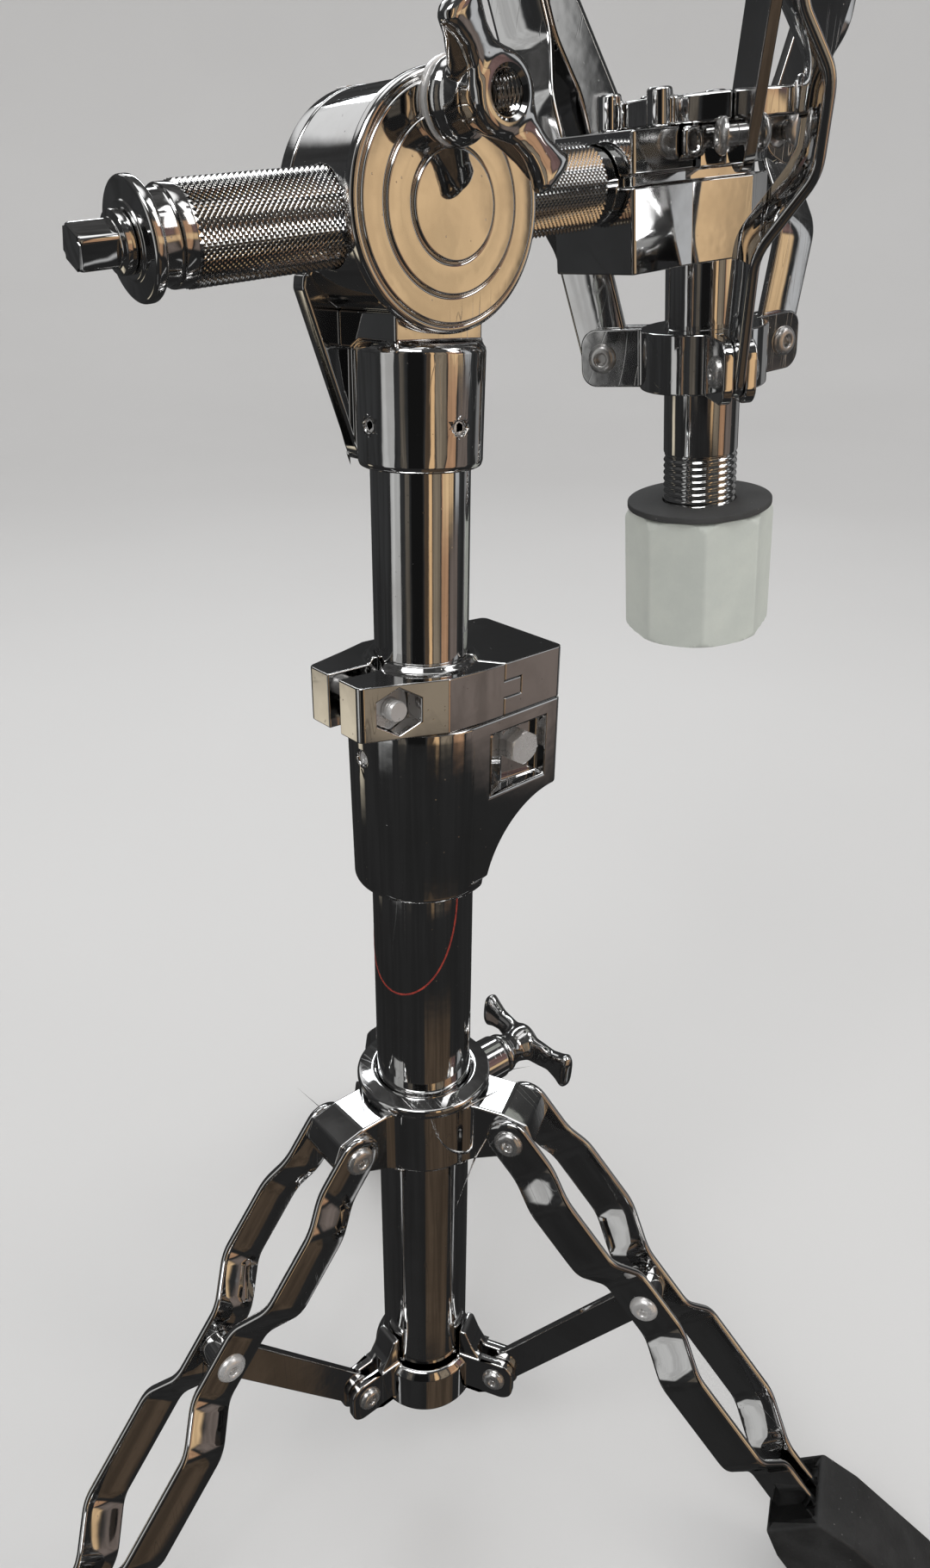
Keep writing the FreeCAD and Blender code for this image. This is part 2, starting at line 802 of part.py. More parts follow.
def make_brace(number, turns):
    """Flat brace from the spider up to the leg's middle pivot, with two side spacers."""
    base, frame = leg_frame(turns, D.spider_pivot_radius, D.spider_pivot_height, 180.0 - BRACE_LEAN)
    bar = pad("Brace", "XZ_Plane", [
        (-5.5, 5.0),
        (5.5, 5.0),
        (5.5, -BRACE_LENGTH - 5.0),
        (-5.5, -BRACE_LENGTH - 5.0),
    ], 3.0)
    round_edges(bar, lambda edge: is_along(edge, Vector(0, 1, 0)), 4.8)
    half = D.strap_gap_pinch.value - D.strap_thickness.value / 2.0 - 0.1
    spacer = cylinder(5.4, half * 2.0, (0, -half, -BRACE_LENGTH), "Y")
    eye = cylinder(2.56, 20.0, (0, -10.0, 0), "Y")
    node(cut(join(bar, spacer), eye), "brace_%d" % number, base, frame)


def clevis_lugs(side_view, pivot_radius, turns_list, corner):
    """Pairs of upright lug plates round a hub; the side view is (radius, height)."""
    thickness = 3.2
    outside = Size.of(pivot_radius).value + corner - 1.0
    plates = []
    for turns in turns_list:
        for side in (1.0, -1.0):
            plate = pad("Lug", "XZ_Plane", side_view, thickness, [(pivot_radius, 0.0, 2.5)])
            round_edges(plate, lambda edge: is_along(edge, Vector(0, 1, 0))
                        and edge.BoundBox.XMin > outside, corner)
            angle = math.radians(turns)
            shift = side * (CLEVIS_HALF_GAP + thickness / 2.0)
            place(plate, (-math.sin(angle) * shift, math.cos(angle) * shift, 0), turn((0, 0, 1), turns))
            plates.append(plate)
    return plates


def make_spider():
    """Fixed ring near the tube's foot with a clevis for each brace."""
    radius = D.lower_tube_radius
    barrel = revolve("SpiderRing", [
        (radius, -12.0),
        (radius + 3.6, -12.0),
        (radius + 3.6, 4.0),
        (radius + 1.6, 6.5),
        (radius, 6.5),
    ])
    lugs = clevis_lugs([
        (radius + 0.2, -9.0),
        (36.0, -9.0),
        (36.0, 8.0),
        (radius + 0.2, 8.0),
    ], D.spider_pivot_radius, LEG_TURNS, 5.0)
    gussets = []
    for turns in LEG_TURNS:
        rib = pad("Gusset", "XZ_Plane", [
            (radius + 0.2, -10.0),
            (radius + 8.0, -10.0),
            (radius + 8.0, 8.0),
            (radius + 5.0, 13.0),
            (radius + 2.6, 19.0),
            (radius + 0.2, 19.0),
        ], 9.4)
        place(rib, (0, 0, 0), turn((0, 0, 1), turns))
        gussets.append(rib)
    slots = []
    for turns in LEG_TURNS:
        slot = pad("BraceSlot", "XZ_Plane", [
            (radius + 4.0, -14.0),
            (60.0, -14.0),
            (60.0, 10.0),
            (radius + 4.0, 10.0),
        ], 3.2)
        place(slot, (0, 0, 0), turn((0, 0, 1), turns))
        slots.append(slot)
    solid = cut(join(barrel, *lugs, *gussets), *slots)
    node(solid, "spider", (0, 0, D.spider_pivot_height))


def make_spider_rivets():
    rivets = pivot_rivets(Size.of(4.9), 4.2, 2.5, D.spider_pivot_radius,
                          D.spider_pivot_height, LEG_TURNS)
    node(rivets, "spider_rivets")


# ---------------------------------------------------------------- tilter
def make_tilter_bracket():
    """Socket on the upper tube, saddle under the drum and the plate behind it."""
    centre = D.tilter_height
    socket = revolve("Socket", [
        (0, D.socket_bottom),
        (D.socket_radius - 1.2, D.socket_bottom),
        (D.socket_radius - 0.4, D.socket_bottom + 1.0),
        (D.socket_radius, D.socket_top - 1.5),
        (D.socket_radius - 1.5, D.socket_top),
        (0, D.socket_top),
    ])
    neck = box(26.0, D.drum_back - D.drum_front, 10.0, (-13.0, D.drum_front, D.socket_top - 2.0))
    back = pad("BackWeb", "XZ_Plane", [
        (-8.0, -57.0),
        (8.0, -57.0),
        (14.0, -30.0),
        (22.0, -14.0),
        (-22.0, -14.0),
        (-22.5, -17.0),
    ], D.plate_thickness)
    place(back, (0, D.drum_back + D.running_gap + D.plate_thickness / 2.0, centre))
    back_face = D.drum_back + D.running_gap
    plate = cylinder(D.back_plate_radius, D.plate_thickness, (0, back_face, centre), "Y")
    rib = pad("SocketWeb", "XY_Plane", [
        (-9.0, 4.0),
        (8.0, 4.0),
        (8.0, 19.0),
        (-9.0, 19.0),
    ], 28.0)
    place(rib, (0, 0, D.socket_bottom + 15.0))
    drum_room = cylinder(D.drum_radius + D.running_gap, D.drum_back - D.drum_front + 0.06,
                         (0, D.drum_front - 0.03, centre), "Y")
    bore = cylinder(D.upper_tube_radius, D.socket_top - D.socket_bottom - 4.0, (0, 0, D.socket_bottom))
    trunnion = cylinder(D.trunnion_radius + D.running_gap, 40.0, (0, 0, centre), "Y")
    bolt = cylinder(D.tilt_bolt_radius, 60.0, (0, -20.0, centre + D.tilt_bolt_height), "Y")
    holes = []
    for turns in SET_SCREW_TURNS:
        hole = cylinder(1.6, 20.0)
        angle = math.radians(turns)
        hole.Placement = Placement(
            Vector(10 * math.cos(angle), 10 * math.sin(angle), D.socket_bottom.value + 10.5),
            turn((0, 0, 1), turns) * ALONG["X"])
        holes.append(hole)
    solid = cut(join(socket, neck, back, plate, rib), drum_room, bore, trunnion, bolt, *holes)
    node(solid, "tilter_bracket")


def make_bracket_screws():
    """Two socket set screws that hold the bracket on the upper tube."""
    screws = []
    for turns in SET_SCREW_TURNS:
        shank = cylinder(1.6, 2.4, (0, 0, 0), "X")
        socket = hexagon(1.5, 1.2, (1.6, 0, 0), "X")
        screw = cut(shank, socket)
        angle = math.radians(turns)
        reach = D.upper_tube_radius
        place(screw, (reach * math.cos(angle), reach * math.sin(angle), D.socket_bottom + 10.5),
              turn((0, 0, 1), turns))
        screws.append(screw)
    node(group(*screws), "bracket_set_screws")


def make_tilter_front_cap():
    """Front disc in rising terraces, clamped against the drum by the tilt bolt."""
    radius = D.disc_radius
    front = D.plate_thickness
    disc = revolve("FrontDisc", [
        (0, 0),
        (radius, 0),
        (radius, front - 2.6),
        (radius - 1.0, front - 1.6),
        (radius * 0.93, front - 1.6),
        (radius * 0.91, front - 0.9),
        (radius * 0.70, front - 0.9),
        (radius * 0.68, front - 0.3),
        (radius * 0.44, front - 0.3),
        (radius * 0.42, front),
        (0, front),
    ])
    trunnion = cylinder(D.trunnion_radius + D.running_gap, 3.0, (0, 0, -0.5))
    bolt = cylinder(D.tilt_bolt_radius, 20.0, (0, D.tilt_bolt_height, -5.0))
    node(cut(disc, trunnion, bolt), "tilter_front_cap",
         (0, D.drum_front - D.running_gap, D.tilter_height), turn((1, 0, 0), 90))


def make_tilter_bolt():
    """Bolt through both plates and the drum's slot, with a square head at the back."""
    back = D.drum_back + D.running_gap + D.plate_thickness
    front = D.drum_front - D.running_gap - D.plate_thickness
    height = D.tilter_height + D.tilt_bolt_height
    shank = cylinder(D.tilt_bolt_radius, back - front + 9.0, (0, front - 8.0, height), "Y")
    head = box(11.0, 4.0, 11.0, (-5.5, back, height - 5.5))
    node(join(shank, head), "tilter_bolt")


def make_tilter_wing_nut():
    face = D.drum_front - D.running_gap * 2.0 - D.plate_thickness
    bore = cylinder(D.tilt_bolt_radius + 0.06, 60.0, (0, -50.0, 0), "Y")
    solid = cut(wing_nut("TiltWings", 40.0, 17.0, 11.0, 8.6, 8.4), bore)
    node(solid, "tilter_wing_nut", (0, face, D.tilter_height + D.tilt_bolt_height), turn((0, 1, 0), 46))


TILT = turn((0, 1, 0), -D.arm_tilt.value)
TILT_BASE = (0, 0, D.tilter_height)


def make_tilter_drum():
    """Drum that grips the offset arm; an arc slot lets it tilt round the bolt."""
    width = D.drum_back - D.drum_front
    drum = cylinder(D.drum_radius, width, (0, D.drum_front, 0), "Y")
    front_pin = cylinder(D.trunnion_radius, 2.0, (0, D.drum_front - 2.0, 0), "Y")
    back_pin = cylinder(D.trunnion_radius, 5.0, (0, D.drum_back, 0), "Y")
    arm_bore = cylinder(D.arm_radius + D.running_gap, 80.0, (-40.0, D.arm_offset, 0), "X")
    height = D.tilt_bolt_height.value
    reach = D.tilt_bolt_radius.value + 0.15
    inner = height - reach
    outer = height + reach
    sweep = 38.0
    slot = doc.addObject("Part::Feature", unique("ArcSlot"))
    wedge_points = [Vector()]
    for angle in (-sweep, -sweep / 2.0, 0.0, sweep / 2.0, sweep):
        turned = math.radians(90.0 + angle)
        wedge_points.append(Vector(40.0 * math.cos(turned), 0, 40.0 * math.sin(turned)))
    wedge_points.append(Vector())
    wedge = Part.Face(Part.makePolygon(wedge_points)).extrude(Vector(0, 60.0, 0))
    wedge.translate(Vector(0, -30.0, 0))
    middle = Vector(0, -30.0, 0)
    ring_shape = Part.makeCylinder(outer, 60.0, middle, Vector(0, 1, 0))
    ring_shape = ring_shape.cut(Part.makeCylinder(inner, 60.0, middle, Vector(0, 1, 0)))
    slot_shape = ring_shape.common(wedge)
    for side in (-sweep, sweep):
        turned = math.radians(90.0 + side)
        where = Vector(height * math.cos(turned), -30.0, height * math.sin(turned))
        slot_shape = slot_shape.fuse(Part.makeCylinder(reach, 60.0, where, Vector(0, 1, 0)))
    slot.Shape = slot_shape
    node(cut(join(drum, front_pin, back_pin), arm_bore, slot), "tilter_drum", TILT_BASE, TILT)


def make_arm():
    """Knurled offset arm with its end flange and the draw bolt inside it."""
    inner = D.arm_radius - D.arm_wall
    length = D.arm_left + D.arm_right
    tube = cut(cylinder(D.arm_radius, length, (-D.arm_left, D.arm_offset, 0), "X"),
               cylinder(inner, length + 2.0, (-D.arm_left - 1.0, D.arm_offset, 0), "X"))
    node(tube, "knurled_arm", TILT_BASE, TILT)
    step = cylinder(9.2, 4.5, (-D.arm_left - 4.5, D.arm_offset, 0), "X")
    disc = cylinder(11.6, 3.6, (-D.arm_left - 8.1, D.arm_offset, 0), "X")
    plug = cylinder(inner, 6.0, (-D.arm_left - 0.5, D.arm_offset, 0), "X")
    bore = cylinder(4.06, 40.0, (-D.arm_left - 20.0, D.arm_offset, 0), "X")
    node(cut(join(disc, step, plug), bore), "arm_end_flange", TILT_BASE, TILT)
    seat = -D.arm_left - 8.2
    shank = cylinder(4.0, D.arm_left + D.block_left + 24.0, (seat - 3.0, D.arm_offset, 0), "X")
    collar = cylinder(5.6, 2.4, (seat - 2.4, D.arm_offset, 0), "X")
    tip = box(9.0, 7.0, 7.0, (seat - 11.0, D.arm_offset - 3.5, -3.5))
    node(join(shank, collar, tip), "arm_drawbolt", TILT_BASE, TILT)


# ---------------------------------------------------------------- basket
def block_outline(shrink):
    """Plan of the basket block: flat left face, faceted sides that swell round the basket tube."""
    middle = D.arm_offset
    half_outline = [
        (D.block_left + shrink, 14.5),
        (D.basket_offset - 23.6, 14.5),
        (D.basket_offset - 3.5, 18.5),
        (D.block_right - shrink, 9.0),
    ]
    front = [(x, middle - (y - shrink)) for x, y in half_outline]
    back = [(x, middle + (y - shrink)) for x, y in reversed(half_outline)]
    return front + back


def block_slab(name, low, high, shrink):
    """A slab with the block's plan between two heights, its upright edges rounded."""
    slab = pad(name, "XY_Plane", block_outline(shrink), high - low)
    round_edges(slab, lambda edge: is_along(edge, Vector(0, 0, 1)), 1.0)
    place(slab, (0, 0, (low + high) / 2.0))
    return slab


def make_basket_block():
    """Cast block that grips the basket tube and turns on the offset arm's draw bolt."""
    slab = block_slab("Block", D.block_bottom, D.block_top, 0.0)
    step = block_slab("BlockStep", D.block_top, D.cover_bottom, 2.6)
    neck_start = D.arm_right + 0.1
    neck = cylinder(D.neck_radius, D.block_left - neck_start + 12.0, (neck_start, D.arm_offset, 0), "X")
    room = box(200.0, 100.0, 40.0, (D.block_left, -50.0, D.cover_bottom))
    tube = cylinder(D.basket_tube_radius, 60.0, (D.basket_offset, D.arm_offset, -30.0))
    socket = cylinder(4.06, 46.0, (neck_start - 1.0, D.arm_offset, 0), "X")
    node(cut(join(slab, step, neck), room, tube, socket), "basket_block", TILT_BASE, TILT)


def make_basket_cover():
    """Cover casting above the block, and the square-headed bolt in its front face."""
    slab = block_slab("Cover", D.cover_bottom, D.cover_top, 0.4)
    tube = cylinder(D.basket_tube_radius, 60.0, (D.basket_offset, D.arm_offset, -10.0))
    neck_room = cylinder(D.neck_radius + D.running_gap, 60.0, (D.arm_right - 1.0, D.arm_offset, 0), "X")
    across = D.basket_offset - 25.0
    front = D.arm_offset - 14.1
    height = D.cover_top - 3.7
    hole = cylinder(2.5, 9.0, (across, front - 1.0, height), "Y")
    seat = box(7.1, 3.0, 7.1, (across - 3.55, front - 2.4, height - 3.55))
    notches = []
    for turns in BASKET_TURNS:
        notch = pad("ArmRoom", "XZ_Plane", [
            (20.6, -20.0),
            (60.0, -20.0),
            (60.0, 30.0),
            (20.6, 30.0),
        ], 17.0)
        place(notch, (D.basket_offset, D.arm_offset, 0), turn((0, 0, 1), turns))
        notches.append(notch)
    node(cut(slab, tube, neck_room, hole, seat, *notches), "basket_cover", TILT_BASE, TILT)
    shank = cylinder(2.5, 8.0, (across, front, height), "Y")
    head = box(7.0, 2.6, 7.0, (across - 3.5, front - 2.0, height - 3.5))
    node(join(shank, head), "cover_bolt", TILT_BASE, TILT)


def basket_frame(height):
    """Frame on the basket tube's axis at a height in the tilted frame."""
    tilt = math.radians(D.arm_tilt.value)
    across = D.basket_offset.value
    base = (
        across * math.cos(tilt) - height * math.sin(tilt),
        D.arm_offset,
        D.tilter_height + (across * math.sin(tilt) + height * math.cos(tilt)),
    )
    return base, TILT


def make_basket_tube():
    base, frame = basket_frame(0.0)
    inner = D.basket_tube_radius - D.basket_tube_wall
    bottom = D.washer_height - 26.0
    top = D.upper_hub_height + 8.0
    node(ring("BasketTube", inner, D.basket_tube_radius, bottom, top), "basket_tube", base, frame)


def make_lower_hub():
    """Sliding hub with a clevis for each of the three links."""
    barrel = ring("Hub", D.basket_tube_radius + 0.06, D.hub_radius, -8.5, 8.5)
    lugs = clevis_lugs([
        (17.0, -8.5),
        (37.5, -8.5),
        (37.5, 8.5),
        (17.0, 8.5),
    ], D.hub_pivot_radius, BASKET_TURNS, 5.0)
    base, frame = basket_frame(D.lower_hub_height.value)
    node(join(barrel, *lugs), "lower_hub", base, frame)
    make_hub_rivets("lower_hub_rivets", base, frame)


def make_upper_hub():
    """Crown on the basket tube's top; its lugs hang outside the cover casting."""
    low = D.cover_top.value - D.upper_hub_height.value + 0.1
    rim = 10.0
    top = D.crown_post_height
    barrel = ring("Hub", D.basket_tube_radius, D.crown_radius, low, rim)
    lugs = clevis_lugs([
        (17.0, low),
        (29.0, low),
        (29.0, -8.5),
        (37.5, -8.5),
        (37.5, 8.5),
        (17.0, 8.5),
    ], D.hub_pivot_radius, BASKET_TURNS, 5.0)
    posts = []
    slots = []
    for turns in BASKET_TURNS:
        for beside in CROWN_POST_TURNS:
            angle = math.radians(turns + beside)
            reach = D.crown_radius.value + 2.0
            where = (reach * math.cos(angle), reach * math.sin(angle), low)
            posts.append(cylinder(D.crown_post_radius, top - low, where))
        slot = pad("ArmSlot", "XZ_Plane", [
            (20.6, -20.0),
            (60.0, -20.0),
            (60.0, 30.0),
            (20.6, 30.0),
        ], CLEVIS_HALF_GAP * 2.0)
        place(slot, (0, 0, 0), turn((0, 0, 1), turns))
        slots.append(slot)
    base, frame = basket_frame(D.upper_hub_height.value)
    node(cut(join(barrel, *lugs, *posts), *slots), "upper_hub", base, frame)
    make_hub_rivets("upper_hub_rivets", base, frame)


def make_hub_rivets(label, base, frame):
    rivets = pivot_rivets(Size.of(4.8), 4.4, 2.5, D.hub_pivot_radius, 0, BASKET_TURNS)
    node(rivets, label, base, frame)


def bar_frame(turns, height, lean):
    """Frame of a basket bar at a hub pivot: +Z along the bar, Y along the pivot."""
    base, frame = basket_frame(height)
    angle = math.radians(turns)
    radius = D.hub_pivot_radius.value
    offset = frame.multVec(Vector(radius * math.cos(angle), radius * math.sin(angle), 0))
    moved = (base[0] + offset.x, base[1] + offset.y, base[2] + offset.z)
    return moved, frame * turn((0, 0, 1), turns) * turn((0, 1, 0), lean)


ARM_LEAN = D.arm_lean.value
JOINT_RUN = D.arm_joint_length.value * math.sin(math.radians(ARM_LEAN))
JOINT_RISE = (D.arm_joint_length.value * math.cos(math.radians(ARM_LEAN))
              + D.upper_hub_height.value - D.lower_hub_height.value)
LINK_LENGTH = math.hypot(JOINT_RUN, JOINT_RISE)
LINK_LEAN = math.degrees(math.atan2(JOINT_RUN, JOINT_RISE))


def make_basket_arm(number, turns):
    """Flat arm from the upper hub, bent at its end, with the stud of its link joint."""
    base, frame = bar_frame(turns, D.upper_hub_height.value, ARM_LEAN)
    half = D.arm_strap_width / 2.0
    length = D.arm_strap_length
    bar = pad("BasketArm", "XZ_Plane", [
        (-half, -8.0),
        (half, -8.0),
        (half, length - 34.0),
        (half * 0.62 + 6.0, length - 8.0),
        (half * 0.62 + 12.0, length + 4.0),
        (12.0 - half * 0.62, length + 8.0),
        (2.0 - half * 0.62, length - 8.0),
        (-half, length - 34.0),
    ], D.arm_strap_thickness, [(0.0, 0.0, 2.56)])
    round_edges(bar, lambda edge: is_along(edge, Vector(0, 1, 0), D.arm_strap_thickness.value)
                and edge.BoundBox.ZMax < 0, 7.5)
    joint = D.arm_joint_length
    face = D.arm_strap_thickness / 2.0
    stud = cylinder(2.5, 9.0, (0, face - 3.5, joint), "Y")
    outer = cone(5.8, 4.6, 1.8, (0, face + 3.5, joint), "Y")
    inner = cone(3.0, 4.4, 1.8, (0, -face - 1.8, joint), "Y")
    node(join(bar, stud, outer, inner), "basket_arm_%d" % number, base, frame)
    tip = pad("ArmTip", "XZ_Plane", [
        (half * 0.62 + 7.5, length - 7.0),
        (half * 0.62 + 17.0, length + 12.0),
        (7.0 - half * 0.62, length + 16.0),
        (0.5 - half * 0.62, length - 7.0),
    ], 9.0)
    round_edges(tip, lambda edge: is_along(edge, Vector(0, 1, 0)), 2.5)
    slot = doc.addObject("Part::Compound", unique("ArmCopy"))
    slot.Links = [bar]
    node(cut(tip, slot), "arm_tip_%d" % number, base, frame)


def make_basket_link(number, turns):
    """Link from the lower hub to an arm, joggled sideways past the upper hub's lugs."""
    base, frame = bar_frame(turns, D.lower_hub_height.value, LINK_LEAN)
    thickness = D.arm_strap_thickness
    beside = D.arm_strap_thickness.value + 0.15
    joggle = D.link_joggle
    path = [
        (7.0, 0.0),
        (-33.0, 0.0),
        (-50.0, joggle),
        (-71.0, joggle),
        (-86.0, beside),
        (-LINK_LENGTH - 8.0, beside),
    ]
    bar = pad("BasketLink", "YZ_Plane", zigzag(path, thickness), D.arm_strap_width - 2.0)
    round_edges(bar, lambda edge: is_along(edge, Vector(0, 1, 0), thickness.value), 7.0)
    eye = cylinder(2.56, 40.0, (0, -20.0, 0), "Y")
    open_eye = cylinder(5.5, 40.0, (0, -20.0, LINK_LENGTH), "Y")
    node(cut(bar, eye, open_eye), "basket_link_%d" % number, base, frame)


def make_knob():
    """Hand nut under the basket: a dished octagon with a friction washer on top."""
    base, frame = basket_frame(0.0)
    bore = D.basket_tube_radius + 0.06
    top = D.washer_height
    washer = ring("Washer", bore, D.washer_radius, top, top + D.washer_thickness)
    node(washer, "knob_washer", base, frame)
    height = D.knob_height
    sides = []
    count = 8
    for index in range(count):
        angle = math.radians(360.0 / count * (index + 0.5))
        sides.append((D.knob_radius * math.cos(angle), D.knob_radius * math.sin(angle)))
    prism = pad("Knob", "XY_Plane", sides, height)
    place(prism, (0, 0, height / -2.0))
    hollow = cylinder(bore, height - 8.0, (0, 0, 8.0 - height))
    node(cut(prism, hollow), "basket_knob", shifted(base, frame, top - 0.05), frame)


def shifted(base, frame, along):
    """The base moved along the frame's Z axis."""
    step = frame.multVec(Vector(0, 0, Size.of(along).value))
    return (base[0] + step.x, base[1] + step.y, base[2] + step.z)


# ---------------------------------------------------------------- assembly
def make_all():
    make_lower_tube()
    make_guide_bushing()
    make_upper_tube()
    make_tube_clamp()
    make_clamp_bolt()
    make_clamp_wing_nut()
    make_clamp_set_screw()
    lock_half(True)
    lock_half(False)
    make_lock_hardware()
    make_leg_collar()
    make_collar_rivets()
    make_collar_wing_screw()
    make_spider()
    make_spider_rivets()
    for number, turns in enumerate(LEG_TURNS, start=1):
        make_leg(number, turns)
        make_brace(number, turns)
    make_tilter_bracket()
    make_bracket_screws()
    make_tilter_front_cap()
    make_tilter_bolt()
    make_tilter_wing_nut()
    make_tilter_drum()
    make_arm()
    make_basket_block()
    make_basket_cover()
    make_basket_tube()
    make_upper_hub()
    make_lower_hub()
    for number, turns in enumerate(BASKET_TURNS, start=1):
        make_basket_arm(number, turns)
        make_basket_link(number, turns)
    make_knob()


def check_all():
    """Stop on any failed object or bad shape before anything is written."""
    for thing in doc.Objects:
        if "Invalid" in thing.State or "Error" in thing.State:
            raise RuntimeError("failed object: %s %s" % (thing.Name, thing.State))
    for thing in NODES:
        if thing.Shape.isNull() or not thing.Shape.isValid() or not thing.Shape.Solids:
            raise RuntimeError("bad shape: " + thing.Label)


make_all()
doc.recompute()
check_all()
for thing in NODES:
    thing.Shape.exportStep("parts/%s.step" % thing.Label)
print("%d sub-parts written" % len(NODES))
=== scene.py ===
"""Visual model of a chrome snare drum stand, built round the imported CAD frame.

Shapes are built in millimetres and scaled to metres as each piece is made.  The frame's
origin is on the axis of the upright tube at floor level, +Z up, +X towards the basket.
"""

import json
import math

import bmesh
import bpy
from mathutils import Matrix, Vector

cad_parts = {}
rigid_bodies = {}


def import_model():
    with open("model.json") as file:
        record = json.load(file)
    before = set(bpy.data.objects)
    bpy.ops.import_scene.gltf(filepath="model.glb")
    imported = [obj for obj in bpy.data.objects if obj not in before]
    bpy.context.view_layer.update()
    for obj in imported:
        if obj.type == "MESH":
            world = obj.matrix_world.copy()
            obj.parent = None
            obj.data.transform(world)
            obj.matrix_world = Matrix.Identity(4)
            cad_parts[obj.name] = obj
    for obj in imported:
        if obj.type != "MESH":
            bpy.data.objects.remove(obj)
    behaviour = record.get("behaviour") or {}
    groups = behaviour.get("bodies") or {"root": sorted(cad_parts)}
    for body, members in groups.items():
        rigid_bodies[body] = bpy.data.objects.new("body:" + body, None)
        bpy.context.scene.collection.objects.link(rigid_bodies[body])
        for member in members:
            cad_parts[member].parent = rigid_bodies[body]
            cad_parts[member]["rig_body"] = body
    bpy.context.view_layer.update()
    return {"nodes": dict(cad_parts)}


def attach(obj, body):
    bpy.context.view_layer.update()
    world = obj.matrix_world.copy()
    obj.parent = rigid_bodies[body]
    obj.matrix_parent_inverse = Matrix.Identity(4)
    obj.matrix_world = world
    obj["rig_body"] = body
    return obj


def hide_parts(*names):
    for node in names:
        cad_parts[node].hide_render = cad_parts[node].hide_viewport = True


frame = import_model()

MM = 0.001

# ---------------------------------------------------------------- sizes of the stand, mm
LOWER_TUBE = {"radius": 15.0, "wall": 1.2, "low": 40.0, "high": 312.0}
UPPER_TUBE = {"radius": 12.7, "wall": 1.5, "low": 130.0, "high": 406.0}
CLAMP_BOTTOM = 264.0
EAR_BOLT = (24.0, 303.0)
EAR_HEAD_SEAT = -14.0
EAR_NUT_SEAT = 16.95
LOCK_BOLT = (-18.5, 323.55)
LOCK_NUT_SEAT = -7.0
LOCK_BOLT_START = -14.6
LOCK_BOLT_LENGTH = 26.6
COLLAR_PIVOT = (33.0, 178.0)
SPIDER_PIVOT = (29.0, 57.0)
MID_PIVOT = (80.0, 119.0)
LEG_TURNS = (180.0, -60.0, 60.0)
STRAP_WIDTH = 15.0
STRAP_THICKNESS = 2.4
STRAP_LENGTH = 190.0
TILTER_HEIGHT = 438.0
TILT_BOLT_HEIGHT = 19.5
DISC_RADIUS = 26.3
DISC_BACK = -8.05
ARM_TILT = 7.0
ARM_OFFSET = 4.0
ARM_RADIUS = 10.2
ARM_LEFT = -62.0
ARM_RIGHT = 56.0
BASKET_OFFSET = 106.5
BASKET_TURNS = (-125.0, -5.0, 115.0)
BASKET_TUBE_RADIUS = 11.5
HUB_PIVOT = 30.5
UPPER_HUB = 8.5
LOWER_HUB = -48.5
BASKET_ARM_LEAN = 25.0
ARM_STRAP_WIDTH = 18.0
ARM_STRAP_THICKNESS = 3.0
ARM_JOINT = 75.0
WASHER_TOP = -92.0
KNOB_TOP = -94.05
KNOB_RADIUS = 24.0
KNOB_HEIGHT = 42.0

LEG_LEAN = math.degrees(math.atan2(MID_PIVOT[0] - COLLAR_PIVOT[0], COLLAR_PIVOT[1] - MID_PIVOT[1]))
LEG_MID = math.hypot(MID_PIVOT[0] - COLLAR_PIVOT[0], COLLAR_PIVOT[1] - MID_PIVOT[1])
JOINT_RUN = ARM_JOINT * math.sin(math.radians(BASKET_ARM_LEAN))
JOINT_RISE = ARM_JOINT * math.cos(math.radians(BASKET_ARM_LEAN)) + UPPER_HUB - LOWER_HUB
LINK_LENGTH = math.hypot(JOINT_RUN, JOINT_RISE)
LINK_LEAN = math.degrees(math.atan2(JOINT_RUN, JOINT_RISE))


# ---------------------------------------------------------------- places
def shift(x, y, z):
    return Matrix.Translation((x, y, z))


def turn(axis, angle):
    return Matrix.Rotation(math.radians(angle), 4, axis)


HERE = Matrix.Identity(4)
TILTED = shift(0, 0, TILTER_HEIGHT) @ turn("Y", -ARM_TILT)
FACING = {
    "+Y": turn("X", -90),
    "-Y": turn("X", 90),
    "+X": turn("Y", 90),
}


def on_basket(height):
    """Frame on the basket tube's axis at a height."""
    return TILTED @ shift(BASKET_OFFSET, ARM_OFFSET, height)


def leg_place(turns):
    """Frame of a leg: origin at the collar pivot, -Z down the leg, Y along the pivot."""
    return turn("Z", turns) @ shift(COLLAR_PIVOT[0], 0, COLLAR_PIVOT[1]) @ turn("Y", -LEG_LEAN)


def bar_place(turns, height, lean):
    """Frame of a basket bar: origin at its hub pivot, +Z along the bar, Y along the pivot."""
    return on_basket(height) @ turn("Z", turns) @ shift(HUB_PIVOT, 0, 0) @ turn("Y", lean)


